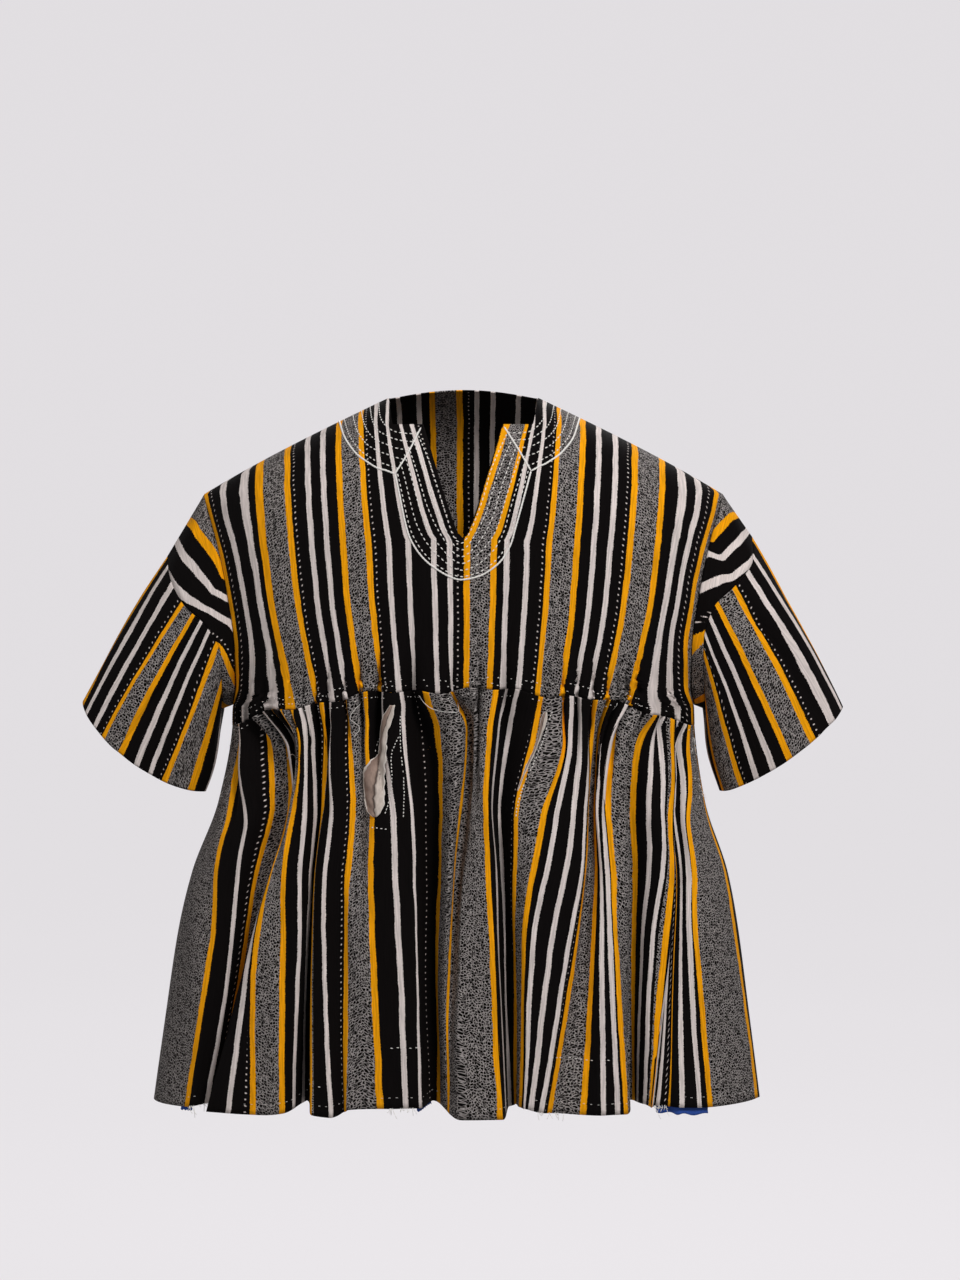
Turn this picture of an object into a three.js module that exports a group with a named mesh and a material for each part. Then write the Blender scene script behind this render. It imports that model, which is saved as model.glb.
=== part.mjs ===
// Fugu smock: a sleeved smock of sewn cloth strips with a slit neck, a plain yoke and a gathered skirt.
// Millimetres, +Z up. The front faces -Y and +X is the wearer's left.
// The origin is on the centre line at shoulder level, where the wearer's shoulders hold the smock.
import * as THREE from 'three';

// Driving dimensions (mm)
const WALL = 2;                    // thickness of a cloth wall
const SEAM_GAP = 0.3;              // between pieces that are sewn together
const ROUNDNESS = 2.4;             // exponent of the body's superelliptic cross section
const NECK_SIDE_X = 80;            // where the neck opening meets the shoulder ridge
const NECK_SIDE_THREAD = 55.5;     // the thread line that ends there, and the one that ends
const NECK_CORNER_THREAD = 42;     // at the corner between the neck's side and its front
const NECK_SIDE_Z = 7.5;
const NECK_FRONT_Z = -26.5;
const NECK_BACK_RISE = 20;         // the back of the neck stands this much over the ridge
const SLIT_SPREAD = 41;            // half the gap between the slit's edges at the neckline
const SLIT_REACH = 64;             // the spread of the slit dies out over this width of cloth
const SLIT_BOTTOM_Z = -147;
const SLIT_STRAIGHT = 0.75;        // share of the spread that grows evenly up the slit
const SLIT_ROUND = 0.35;           // the power of height by which the rest grows
const SLIT_EASE = 0.06;            // the rows by the slit are drawn down a little
const SHOULDER_TIP_X = 277;
const SHOULDER_TIP_Z = -95;
const ARMHOLE_BOTTOM_Z = -320;
const RIDGE_CURVE = 0.08;          // share of the ridge's fall that comes late, by the tip
const ROUND_AT_NECK = 130;         // height over which the shoulder rounds down at the neck
const ROUND_AT_TIP = 95;           // and at the tip
const BACK_NECK_SHARE = 0.34;      // how far the back neckline has come out from the ridge's plane
const SIDE_SEAM_Z = -342;          // where the yoke's side seam ends and the skirt starts
const SIDE_SEAM_X = 248;
const YOKE_EDGE = 249;             // half the yoke's cloth, measured across at mid height
const YOKE_BEND = 200;             // outside this the yoke's cloth turns round the side
const CENTRE_SEAM_Z = -302;        // the gathered seam at the centre
const SEAM_CURVE = 2.2;            // exponent of its fall to the sides
const MID_YOKE_Z = -200;
const HEM_Z = -734;
const GATHER_PITCH = 35;           // cloth taken up by one gather of the skirt's top edge
const GATHER_DEPTH = 3.2;
const GATHER_FADE = 0.22;          // the gathers die out over this part of the skirt's height
const GATHER_MEAN = 0.8;           // their mean depth and half their swing, as shares of the depth
const GATHER_SWING = 0.5;
const GATHER_DRIFT = 47;           // the pitch varies over this much cloth

// Width of the yoke's cloth at each height over its width at mid height
const FAN = [
  { z: SIDE_SEAM_Z, width: 0.86 },
  { z: CENTRE_SEAM_Z, width: 0.895 },
  { z: MID_YOKE_Z, width: 1 },
  { z: 20, width: 1.11 },
];

// Half width and half depth of the body at each height
const BODY = [
  { z: -738, right: 330, left: 316, front: 150, back: 142 },
  { z: -650, right: 318, left: 305, front: 145, back: 137 },
  { z: -557, right: 304, left: 293, front: 140, back: 132 },
  { z: -498, right: 290, left: 282, front: 136, back: 128 },
  { z: -423, right: 262, left: 258, front: 131, back: 123 },
  { z: -342, right: 247, left: 247, front: 127, back: 118 },
  { z: -320, right: 246, left: 246, front: 127, back: 118 },
  { z: -300, right: 245, left: 245, front: 127, back: 118 },
  { z: -262, right: 253, left: 253, front: 127, back: 118 },
  { z: -200, right: 264, left: 264, front: 127, back: 118 },
  { z: -155, right: 268, left: 268, front: 126, back: 117 },
  { z: -120, right: 274, left: 274, front: 125, back: 116 },
  { z: -95, right: 285, left: 285, front: 124, back: 115 },
  { z: 40, right: 300, left: 300, front: 122, back: 112 },
];

// The armhole's edge: half width of the yoke at each height
const ARMHOLE = [
  { z: -342, x: 248 },
  { z: -320, x: 246 },
  { z: -300, x: 241 },
  { z: -262, x: 240 },
  { z: -200, x: 248 },
  { z: -155, x: 258 },
  { z: -120, x: 269 },
  { z: -95, x: 277 },
];

// Folds of the skirt's front, from the wearer's right side seam to the left.
// cloth: distance along the cloth. turn: place round the body in degrees, and
// depth: how far the cloth lies inside the body line, both at five heights from seam to hem.
// drop: how far the hem hangs below its level.
const SKIRT_HEIGHTS = [0, 0.1, 0.3, 0.59, 1];
const FRONT_FOLDS = [
  { cloth: 0, turn: [-90, -90, -90, -90, -90], depth: [0, 0, 0, 0, 0], drop: 4 },
  { cloth: 59, turn: [-79, -75, -64, -55, -58], depth: [0, 2, 2, 2, 2], drop: 2 },
  { cloth: 89, turn: [-73, -68, -54, -50, -55], depth: [0, 0, 2, 10, 18], drop: 0 },
  { cloth: 118, turn: [-64, -54, -48, -48.5, -54], depth: [2, 16, 27, 30, 30], drop: -4 },
  { cloth: 161, turn: [-56, -45, -41.5, -43, -50], depth: [2, 9, 22, 26, 15], drop: 0 },
  { cloth: 202, turn: [-51, -42.5, -39.5, -44, -50], depth: [1, 12, 14, 6, 0], drop: 4 },
  { cloth: 247, turn: [-47, -41, -40, -40, -36], depth: [0, 6, 4, 0, 0], drop: 4 },
  { cloth: 282, turn: [-43, -39.5, -37.5, -33, -30], depth: [0, 0, 0, 1, 4], drop: 2 },
  { cloth: 300, turn: [-40, -37, -33, -29, -28], depth: [0, 0, 1, 5, 15], drop: -2 },
  { cloth: 328, turn: [-36, -35, -31, -28, -27], depth: [2, 15, 19, 27, 32], drop: -6 },
  { cloth: 361, turn: [-33, -32, -30, -27, -24], depth: [1, 8, 10, 10, 1], drop: 2 },
  { cloth: 383, turn: [-30, -30, -27, -24, -20], depth: [0, 0, 1, 2, 0], drop: 4 },
  { cloth: 402, turn: [-27, -26, -23, -21, -18], depth: [0, 1, 4, 8, 8], drop: 0 },
  { cloth: 421, turn: [-24, -23, -20, -18, -17], depth: [1, 8, 9, 2, 0], drop: -4 },
  { cloth: 453, turn: [-19, -19, -16, -13, -10], depth: [1, 5, 2, 0, 0], drop: -6 },
  { cloth: 494, turn: [-12, -11, -8, -6, -5], depth: [0, 0, 0, 0, 5], drop: -6 },
  { cloth: 518, turn: [-7.5, -5.5, -4.4, -4, -3.4], depth: [3, 20, 26, 30, 32], drop: -8 },
  { cloth: 544, turn: [-3, -0.6, -1, -1.8, -2], depth: [0, 0, 1, 8, 18], drop: -2 },
  { cloth: 564, turn: [-0.5, 1.2, 0.2, -0.9, -1.3], depth: [1, 13, 17, 17, 10], drop: 2 },
  { cloth: 580, turn: [1, 1.8, 0.6, -0.4, 0], depth: [0, 7, 8, 5, 0], drop: 5 },
  { cloth: 598, turn: [3, 2.4, 1.6, 1.4, 2.2], depth: [0, 2, 3, 3, 0], drop: 5 },
  { cloth: 618, turn: [5.5, 4.4, 3.5, 4, 5], depth: [0, 0, 0, 0, 1], drop: 5 },
  { cloth: 653, turn: [10.5, 8.5, 6, 6, 6.4], depth: [2, 16, 26, 32, 32], drop: -2 },
  { cloth: 678, turn: [15, 13, 8.6, 7.2, 7], depth: [0, 1, 5, 18, 26], drop: -6 },
  { cloth: 710, turn: [20.5, 20.5, 13.8, 8.6, 7.6], depth: [0, 0, 0, 4, 12], drop: -6 },
  { cloth: 728, turn: [23, 22.5, 17.6, 10.8, 8.2], depth: [1, 4, 2, 0, 0], drop: -6 },
  { cloth: 767, turn: [29, 28.5, 25, 18, 11], depth: [0, 2, 2, 0, 0], drop: -2 },
  { cloth: 793, turn: [32.5, 31, 27.4, 21.4, 14.6], depth: [2, 16, 19, 14, 6], drop: 0 },
  { cloth: 838, turn: [37, 32.6, 28.4, 24.6, 22.4], depth: [1, 10, 9, 2, 0], drop: 2 },
  { cloth: 877, turn: [42, 36, 31, 28.4, 28], depth: [0, 1, 3, 0, 2], drop: 2 },
  { cloth: 898, turn: [45.5, 40, 36.2, 31.8, 29.8], depth: [0, 0, 1, 7, 13], drop: -2 },
  { cloth: 933, turn: [50.5, 44, 39.4, 34.8, 31.6], depth: [2, 14, 23, 29, 32], drop: -6 },
  { cloth: 972, turn: [59, 56, 48.5, 38, 33], depth: [0, 0, 0, 5, 10], drop: -6 },
  { cloth: 994, turn: [64, 63, 53.2, 43, 34], depth: [1, 4, 1, 0, 0], drop: -4 },
  { cloth: 1023, turn: [68.5, 67, 56.8, 45.8, 36.6], depth: [2, 13, 16, 13, 8], drop: -4 },
  { cloth: 1070, turn: [75, 72, 59, 48, 43], depth: [1, 10, 11, 5, 0], drop: -2 },
  { cloth: 1107, turn: [81, 78.5, 63, 54, 54], depth: [0, 3, 3, 0, 0], drop: 0 },
  { cloth: 1142, turn: [87.5, 86, 79, 77, 77], depth: [0, 0, 0, 0, 0], drop: 0 },
  { cloth: 1155, turn: [90, 90, 90, 90, 90], depth: [0, 0, 0, 0, 0], drop: 4 },
];

// Folds of the skirt's back: each row is one crest with the valley after it.
// width: cloth in the fold. deep: depth of the valley at mid height and at the hem.
// lean: how far the valley's turn leans to one side at the hem, in degrees.
const BACK_FOLDS = [
  { width: 96, deep: [10, 16], lean: -1 },
  { width: 84, deep: [18, 30], lean: 2 },
  { width: 112, deep: [12, 24], lean: -2 },
  { width: 78, deep: [20, 32], lean: 1 },
  { width: 104, deep: [10, 20], lean: 3 },
  { width: 92, deep: [22, 34], lean: -1 },
  { width: 116, deep: [14, 28], lean: -3 },
  { width: 80, deep: [18, 26], lean: 1 },
  { width: 98, deep: [12, 30], lean: 2 },
  { width: 108, deep: [20, 32], lean: -2 },
  { width: 86, deep: [14, 22], lean: 1 },
  { width: 101, deep: [8, 14], lean: 0 },
];
const BACK_VALLEY_POWER = 1.4;     // makes the back's valleys narrower than its crests
const BACK_OVERHANG = 1.6;         // degrees by which its crests lean over the valleys
const BACK_TOP_DEPTH = 0.45;       // depth just under the seam over the depth at mid height
const BACK_HEM_WAVE = 4;           // the hem hangs this much lower or higher along a fold
const SIDE_CALM = 260;             // the folds are shallower this near the side seams
const SIDE_CALM_DEPTH = 0.4;       // by this share at the seam itself

// Rings of the sleeves: the seam between band and flare, from the top (0) round the front to
// the underarm (180). The back is the same with Y turned round.
const SLEEVE_SEAM = {
  right: [
    { around: 0, x: 317, y: 0, z: -162 },
    { around: 30, x: 311, y: 30, z: -184 },
    { around: 60, x: 294, y: 53, z: -214 },
    { around: 90, x: 270, y: 63, z: -236 },
    { around: 120, x: 254, y: 60, z: -268 },
    { around: 150, x: 255, y: 35, z: -306 },
    { around: 180, x: 259, y: 0, z: -325 },
  ],
  left: [
    { around: 0, x: 309, y: 0, z: -141 },
    { around: 30, x: 307, y: 30, z: -166 },
    { around: 60, x: 286, y: 54, z: -194 },
    { around: 90, x: 262, y: 63, z: -218 },
    { around: 120, x: 252, y: 60, z: -256 },
    { around: 150, x: 255, y: 35, z: -303 },
    { around: 180, x: 259, y: 0, z: -325 },
  ],
};

// Cuffs: the top and underarm corners of the flattened opening, half its depth front to back,
// and how much further out the middle of the cuff hangs.
const CUFF = {
  right: { topX: 408, topZ: -313, underX: 275, underZ: -413, halfDepth: 46, bulge: 20 },
  left: { topX: 406, topZ: -320, underX: 272, underZ: -413, halfDepth: 46, bulge: 12 },
};
const CUFF_HANG_POWER = 1.5;       // how the hang grows from the cuff's ends to its middle
const CUFF_FLAT_POWER = 0.85;      // flattens the cuff's ring
const FLARE_CROWN = 5;             // the flare's top edge stands out this much half way down
const FLARE_SWELL = 0.06;          // and its front and back swell by this share
const PLEAT_START = 4;             // the pleats reach their depth at one over this of the way

// Pleats of the flares. cloth: part of the way round. turn: degrees round the sleeve from the top
// by the front, and depth: how far the cloth lies in, both at the seam, half way and the cuff.
const SLEEVE_HEIGHTS = [0, 0.5, 1];
const SLEEVE_PLEATS = {
  right: [
    { cloth: 0, turn: [0, 0, 0], depth: [0, 0, 0] },
    { cloth: 0.17, turn: [61.2, 66, 62], depth: [0, 0, 1] },
    { cloth: 0.2, turn: [72, 79, 74], depth: [1, 1, 1] },
    { cloth: 0.225, turn: [81, 83, 81], depth: [5, 7, 2] },
    { cloth: 0.27, turn: [97.2, 91, 97], depth: [3, 3, 1] },
    { cloth: 0.38, turn: [136.8, 130, 137], depth: [1, 1, 0] },
    { cloth: 0.5, turn: [180, 180, 180], depth: [0, 0, 0] },
    { cloth: 0.66, turn: [237.6, 240, 238], depth: [2, 1, 0] },
    { cloth: 0.7, turn: [252, 254, 252], depth: [6, 7, 3] },
    { cloth: 0.75, turn: [270, 270, 270], depth: [2, 1, 0] },
    { cloth: 1, turn: [360, 360, 360], depth: [0, 0, 0] },
  ],
  left: [
    { cloth: 0, turn: [0, 0, 0], depth: [0, 0, 0] },
    { cloth: 0.15, turn: [54, 42, 36], depth: [1, 0, 0] },
    { cloth: 0.19, turn: [68.4, 52, 50], depth: [6, 7, 3] },
    { cloth: 0.215, turn: [77.4, 57, 60], depth: [2, 2, 1] },
    { cloth: 0.27, turn: [97.2, 80, 84], depth: [0, 0, 0] },
    { cloth: 0.38, turn: [136.8, 128, 134], depth: [1, 1, 0] },
    { cloth: 0.5, turn: [180, 180, 180], depth: [0, 0, 0] },
    { cloth: 0.68, turn: [244.8, 246, 244], depth: [2, 1, 0] },
    { cloth: 0.72, turn: [259.2, 260, 258], depth: [6, 7, 3] },
    { cloth: 0.77, turn: [277.2, 276, 276], depth: [2, 1, 0] },
    { cloth: 1, turn: [360, 360, 360], depth: [0, 0, 0] },
  ],
};

// Pocket linings: white leaves that stand out of the slits in the skirt's front.
// cloth and height: the slit's upper and lower end on the cloth. width: the leaf's widest part.
const POCKETS = {
  right: { cloth: [486, 455], height: [0.03, 0.3], width: 27 },
  left: { cloth: [692, 676], height: [0.04, 0.24], width: 8 },
};
const LEAF_THICKNESS = 1;
const LEAF_TIP = 0.08;             // half width at the leaf's ends over that at its widest
const LEAF_LOW = 1.5;              // moves the widest part down
const LEAF_FULL = 0.8;             // fills the outline out
const LEAF_CLEARANCE = 0.7;        // between a leaf and the coarse facets under it

// Facets
const YOKE_ROWS = 10;              // rows down the armhole, with one more below it
const SLIT_ROW = 5;                // the row at which the slit ends
const YOKE_COLUMNS = [
  0, 14, 28, 36, 42, 45, 47.5, 49.5, 51.5, 53.5, 55.5, 64, 80, 104, 130, 156, 180, 200, 214, 226, 238, 249,
];
const BACK_COLUMNS = [0, 20, 40, 54, 64, 73, 92, 124, 160, 200, 216, 232, 249];
const SKIRT_ROWS = [0, 0.06, 0.14, 0.25, 0.4, 0.58, 0.78, 1];
const FRONT_COLUMNS = 132;
const BACK_COLUMN_COUNT = 96;
const SLEEVE_COLUMNS = 40;
const FLARE_ROWS = 6;
const BAND_ROWS = 2;
const LEAF_ROWS = 12;
const LEAF_HALF_COLUMNS = 2;

const degrees = Math.PI / 180;
const { clamp, lerp } = THREE.MathUtils;

/** A smooth curve through the points that never goes past them. */
function smoothCurve(places, values) {
  const last = places.length - 1;
  const slopes = places.slice(1).map((place, i) => (values[i + 1] - values[i]) / (place - places[i]));
  const tangents = places.map((place, i) => {
    const before = slopes[Math.max(i - 1, 0)];
    const after = slopes[Math.min(i, last - 1)];
    return before * after <= 0 ? 0 : (2 * before * after) / (before + after);
  });
  return (place) => {
    let i = 0;
    while (i < last - 1 && place > places[i + 1]) i += 1;
    const span = places[i + 1] - places[i];
    const f = clamp((place - places[i]) / span, 0, 1);
    const f2 = f * f;
    const f3 = f2 * f;
    return (2 * f3 - 3 * f2 + 1) * values[i] + (f3 - 2 * f2 + f) * span * tangents[i]
      + (3 * f2 - 2 * f3) * values[i + 1] + (f3 - f2) * span * tangents[i + 1];
  };
}

/** One column of a table as a smooth curve over another. */
const columnOf = (table, key) => table.map((row) => row[key]);
const tableCurve = (table, place, value) => smoothCurve(columnOf(table, place), columnOf(table, value));

const bodyHalfWidth = { right: tableCurve(BODY, 'z', 'right'), left: tableCurve(BODY, 'z', 'left') };
const bodyHalfDepth = { front: tableCurve(BODY, 'z', 'front'), back: tableCurve(BODY, 'z', 'back') };
const armholeX = tableCurve(ARMHOLE, 'z', 'x');
const sideOf = (x) => (x < 0 ? 'right' : 'left');

/** Height of the shoulder ridge at x: a straight slope that rounds off at the tip. */
function ridgeZ(x) {
  const along = (Math.abs(x) - NECK_SIDE_X) / (SHOULDER_TIP_X - NECK_SIDE_X);
  const drop = NECK_SIDE_Z - SHOULDER_TIP_Z;
  const out = Math.max(along, 0);
  return NECK_SIDE_Z - drop * ((1 - RIDGE_CURVE) * out + RIDGE_CURVE * out ** 3);
}

/** The same for the back, which rises behind the neck. */
function backRidgeZ(x) {
  const inNeck = Math.max(1 - (x / NECK_SIDE_X) ** 2, 0);
  return ridgeZ(x) + NECK_BACK_RISE * inNeck;
}

/** Height over which the shoulder rounds down from the ridge to the chest. */
function shoulderRound(x) {
  const along = clamp((Math.abs(x) - NECK_SIDE_X) / (SHOULDER_TIP_X - NECK_SIDE_X), 0, 1);
  return lerp(ROUND_AT_NECK, ROUND_AT_TIP, along);
}

/** How far the cloth stands out from the XZ plane: a quarter ellipse under the ridge
 *  times the superellipse of the body. */
function standOut(x, z, face) {
  const ridge = face === 'front' ? ridgeZ(x) : backRidgeZ(x);
  const under = clamp((ridge - z) / shoulderRound(x), 0, 1);
  const round = Math.sqrt(1 - (1 - under) ** 2);
  const across = Math.min(Math.abs(x) / bodyHalfWidth[sideOf(x)](z), 1);
  return bodyHalfDepth[face](z) * (1 - across ** ROUNDNESS) ** (1 / ROUNDNESS) * round;
}

/** Height at which the quarter ellipse has come out by the given share. */
const zAtShare = (x, ridge, share) => ridge - shoulderRound(x) * (1 - Math.sqrt(1 - share ** 2));

/** Upper end of thread line m: on the shoulder ridge, then round the side of the neck to the
 *  neckline. */
function frontTopZ(x, m) {
  const past = clamp((NECK_SIDE_THREAD - m) / (NECK_SIDE_THREAD - NECK_CORNER_THREAD), 0, 1);
  const inward = Math.sin((past * Math.PI) / 2);
  const under = (NECK_SIDE_Z - NECK_FRONT_Z) / shoulderRound(0);
  return zAtShare(x, ridgeZ(x), Math.sqrt(1 - (1 - under) ** 2) * inward);
}

function backTopZ(x) {
  const inward = Math.sqrt(Math.max(1 - (x / NECK_SIDE_X) ** 2, 0));
  return zAtShare(x, backRidgeZ(x), BACK_NECK_SHARE * inward);
}

/** The gathered seam between yoke and skirt hangs lower at the sides. */
function seamZ(x) {
  return lerp(CENTRE_SEAM_Z, SIDE_SEAM_Z, (Math.abs(x) / SIDE_SEAM_X) ** SEAM_CURVE);
}

/** The cloth fans out from the seam to the shoulders: width over width at mid height. */
const fan = tableCurve(FAN, 'z', 'width');

/** Where the thread line that is at distance m from the slit lies at height z. */
function threadX(m, z, isFront) {
  const up = clamp((z - SLIT_BOTTOM_Z) / (NECK_FRONT_Z - SLIT_BOTTOM_Z), 0, 1);
  const spread = isFront ? SLIT_SPREAD * Math.exp(-((m / SLIT_REACH) ** 2)) : 0;
  return m * fan(z) + spread * (SLIT_STRAIGHT * up + (1 - SLIT_STRAIGHT) * up ** SLIT_ROUND);
}

/** One column of the yoke, from its upper edge to the seam, at distance m from the centre. */
function yokeColumn(m, side, face) {
  const isFront = face === 'front';
  const topOf = isFront ? frontTopZ : backTopZ;
  const inner = Math.min(m, YOKE_BEND);
  const bend = (m - inner) / (YOKE_EDGE - YOKE_BEND);
  const xAt = (z) => {
    const thread = threadX(inner, z, isFront);
    if (bend === 0) return thread;
    const width = bodyHalfWidth[sideOf(side)](z);
    const angle = (place) => Math.asin(Math.min(place / width, 1) ** (ROUNDNESS / 2));
    return width * Math.sin(lerp(angle(thread), angle(armholeX(z)), bend)) ** (2 / ROUNDNESS);
  };
  let topX = inner;
  for (let step = 0; step < 8; step += 1) topX = threadX(inner, topOf(topX, m), isFront);
  topX = lerp(topX, SHOULDER_TIP_X, bend);
  let bottomZ = CENTRE_SEAM_Z;
  for (let step = 0; step < 8; step += 1) bottomZ = seamZ(xAt(bottomZ));
  const slitEase = 1 + SLIT_EASE * Math.exp(-((m / SLIT_REACH) ** 2));
  const share = (ARMHOLE_BOTTOM_Z - SHOULDER_TIP_Z) / (SIDE_SEAM_Z - SHOULDER_TIP_Z);
  const points = [];
  for (let row = 0; row <= YOKE_ROWS + 1; row += 1) {
    const down = row > YOKE_ROWS ? 1 : (share * (1 - Math.cos((Math.PI * row) / YOKE_ROWS))) / 2;
    const z = lerp(topOf(topX, m), bottomZ, down ** slitEase);
    const onCentre = m === 0 && (row >= SLIT_ROW || !isFront);
    const x = row === 0 ? topX : xAt(z);
    points.push(facePoint(onCentre ? 0 : side * x, z, face));
  }
  return points;
}

/** A point of the body's outer face. */
function facePoint(x, z, face) {
  const out = SEAM_GAP / 2 + standOut(x, z, face);
  return new THREE.Vector3(x, face === 'front' ? -out : out, z);
}

/** The outward direction of the body's face at a point. */
function faceNormal(point, face) {
  const step = 0.5;
  const { x, z } = point;
  const slopeX = (standOut(x + step, z, face) - standOut(x - step, z, face)) / (2 * step);
  const slopeZ = (standOut(x, z + step, face) - standOut(x, z - step, face)) / (2 * step);
  const out = face === 'front' ? -1 : 1;
  return new THREE.Vector3(-slopeX, out, -slopeZ).normalize();
}

/** Outward normals of a grid from its neighbours. Columns run left to right as seen from outside. */
function gridNormals(grid, closed) {
  const columns = grid.length;
  return grid.map((column, i) => column.map((point, j) => {
    const before = closed ? grid[(i + columns - 1) % columns] : grid[Math.max(i - 1, 0)];
    const after = closed ? grid[(i + 1) % columns] : grid[Math.min(i + 1, columns - 1)];
    const across = after[j].clone().sub(before[j]);
    const down = column[Math.min(j + 1, column.length - 1)].clone().sub(column[Math.max(j - 1, 0)]);
    return down.cross(across).normalize();
  }));
}

/** A closed wall: the grid, the same grid moved in, and rims round the edges.
 *  keepRim(side, j) says whether the rim of a side column is built at row j. */
function wallGeometry(outer, inner, { closed = false, keepRim = () => true } = {}) {
  const corners = [];
  const quad = (a, b, c, d) => corners.push(a, b, c, a, c, d);
  const columns = outer.length;
  const rows = outer[0].length;
  for (let i = 0; i < (closed ? columns : columns - 1); i += 1) {
    const k = (i + 1) % columns;
    for (let j = 0; j < rows - 1; j += 1) {
      quad(outer[i][j], outer[i][j + 1], outer[k][j + 1], outer[k][j]);
      quad(inner[i][j], inner[k][j], inner[k][j + 1], inner[i][j + 1]);
    }
    const e = rows - 1;
    quad(outer[i][0], outer[k][0], inner[k][0], inner[i][0]);
    quad(outer[i][e], inner[i][e], inner[k][e], outer[k][e]);
  }
  const end = columns - 1;
  for (let j = 0; j < rows - 1 && !closed; j += 1) {
    if (keepRim('first', j)) quad(outer[0][j], inner[0][j], inner[0][j + 1], outer[0][j + 1]);
    if (keepRim('last', j)) quad(outer[end][j], outer[end][j + 1], inner[end][j + 1], inner[end][j]);
  }
  const geometry = new THREE.BufferGeometry().setFromPoints(corners);
  geometry.computeVertexNormals();
  return geometry;
}

/** Joins two geometries that share a line of vertices into one body. */
function joinGeometries(first, second) {
  const a = first.getAttribute('position').array;
  const b = second.getAttribute('position').array;
  const geometry = new THREE.BufferGeometry();
  geometry.setAttribute('position', new THREE.BufferAttribute(new Float32Array([...a, ...b]), 3));
  geometry.computeVertexNormals();
  return geometry;
}

/** The wall's inner grid: moved in along the normals and kept on its own side of the side seams.
 *  Its upper and lower edges follow the given heights, where the piece meets a seam. */
function innerGrid(outer, normals, face, { topEdge, bottomEdge }) {
  return outer.map((column, i) => column.map((point, j) => {
    const moved = point.clone().addScaledVector(normals[i][j], -WALL);
    const limit = SEAM_GAP / 2;
    if (face === 'front') moved.y = Math.min(moved.y, -limit);
    if (face === 'back') moved.y = Math.max(moved.y, limit);
    if (j === 0 && topEdge) moved.z = topEdge(moved.x);
    if (j === column.length - 1) moved.z = bottomEdge ? bottomEdge(moved.x) : point.z;
    return moved;
  }));
}

/** Front of the yoke: two halves that share the centre line below the slit. */
function yokeFront() {
  const half = (side) => {
    const columns = YOKE_COLUMNS.map((m) => yokeColumn(m, side, 'front'));
    const grid = side < 0 ? columns.reverse() : columns;
    const normals = grid.map((column) => column.map((point) => faceNormal(point, 'front')));
    const slitSide = side < 0 ? 'last' : 'first';
    const keepRim = (edge, j) => edge !== slitSide || j < SLIT_ROW;
    return wallGeometry(grid, innerGrid(grid, normals, 'front', { bottomEdge: seamZ }), { keepRim });
  };
  return joinGeometries(half(-1), half(1));
}

function yokeBack() {
  const left = BACK_COLUMNS.map((m) => yokeColumn(m, 1, 'back'));
  const right = BACK_COLUMNS.slice(1).map((m) => yokeColumn(m, -1, 'back'));
  const grid = [...left.reverse(), ...right];
  const normals = grid.map((column) => column.map((point) => faceNormal(point, 'back')));
  return wallGeometry(grid, innerGrid(grid, normals, 'back', { bottomEdge: seamZ }));
}

/** A point of the skirt: on the body's line at a turn in degrees, then moved in by a depth. */
function skirtPoint(turn, z, depth, face) {
  const x0 = Math.sin(Math.abs(turn) * degrees) ** (2 / ROUNDNESS);
  const y0 = Math.cos(turn * degrees) ** (2 / ROUNDNESS);
  const side = turn < 0 ? -1 : 1;
  const width = bodyHalfWidth[sideOf(turn)](z);
  const thick = bodyHalfDepth[face](z);
  const inward = new THREE.Vector2(x0 ** (ROUNDNESS - 1) / width, y0 ** (ROUNDNESS - 1) / thick).normalize();
  const x = side * (width * x0 - depth * inward.x);
  const out = SEAM_GAP / 2 + Math.max(thick * y0 - depth * inward.y, 0);
  return new THREE.Vector3(x, face === 'front' ? -out : out, z);
}

const skirtTopZ = (x) => seamZ(x) - SEAM_GAP;

/** The skirt's cloth at a turn and depth hangs from the seam above that place. */
function hangingPoint(turn, depth, height, hemZ, face) {
  let top = skirtTopZ(skirtPoint(turn, CENTRE_SEAM_Z, depth, face).x);
  for (let step = 0; step < 4; step += 1) top = skirtTopZ(skirtPoint(turn, top, depth, face).x);
  return skirtPoint(turn, lerp(top, hemZ, height), depth, face);
}

/** Turn and depth of a fold table at any place along the cloth and any height. */
function foldSurface(folds, heights) {
  const places = folds.map((fold) => fold.cloth);
  const turns = heights.map((height, level) => smoothCurve(places, folds.map((fold) => fold.turn[level])));
  const depths = heights.map((height, level) => smoothCurve(places, folds.map((fold) => fold.depth[level])));
  return (cloth, height) => ({
    turn: smoothCurve(heights, turns.map((curve) => curve(cloth)))(height),
    depth: smoothCurve(heights, depths.map((curve) => curve(cloth)))(height),
  });
}

/** Gathers: small waves at the seam that die out below it and at both side seams. */
function gatherDepth(cloth, width, height) {
  const fade = Math.max(1 - height / GATHER_FADE, 0) ** 1.5;
  const ends = clamp(Math.min(cloth, width - cloth) / GATHER_PITCH, 0, 1);
  const wave = Math.sin((2 * Math.PI * cloth) / GATHER_PITCH + 0.9 * Math.sin(cloth / GATHER_DRIFT));
  return GATHER_DEPTH * fade * ends * (GATHER_MEAN + GATHER_SWING * wave);
}

const frontWidth = FRONT_FOLDS.at(-1).cloth;
const frontFolds = foldSurface(FRONT_FOLDS, SKIRT_HEIGHTS);
const frontDrop = smoothCurve(FRONT_FOLDS.map((fold) => fold.cloth), FRONT_FOLDS.map((fold) => fold.drop));

/** A point of the skirt's front at a place along the cloth and a share of its height. */
function skirtFrontPoint(cloth, height) {
  const { turn, depth } = frontFolds(cloth, height);
  const gathered = depth + gatherDepth(cloth, frontWidth, height);
  return hangingPoint(turn, gathered, height, HEM_Z - frontDrop(cloth), 'front');
}

const backWidth = BACK_FOLDS.reduce((sum, fold) => sum + fold.width, 0);

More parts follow.
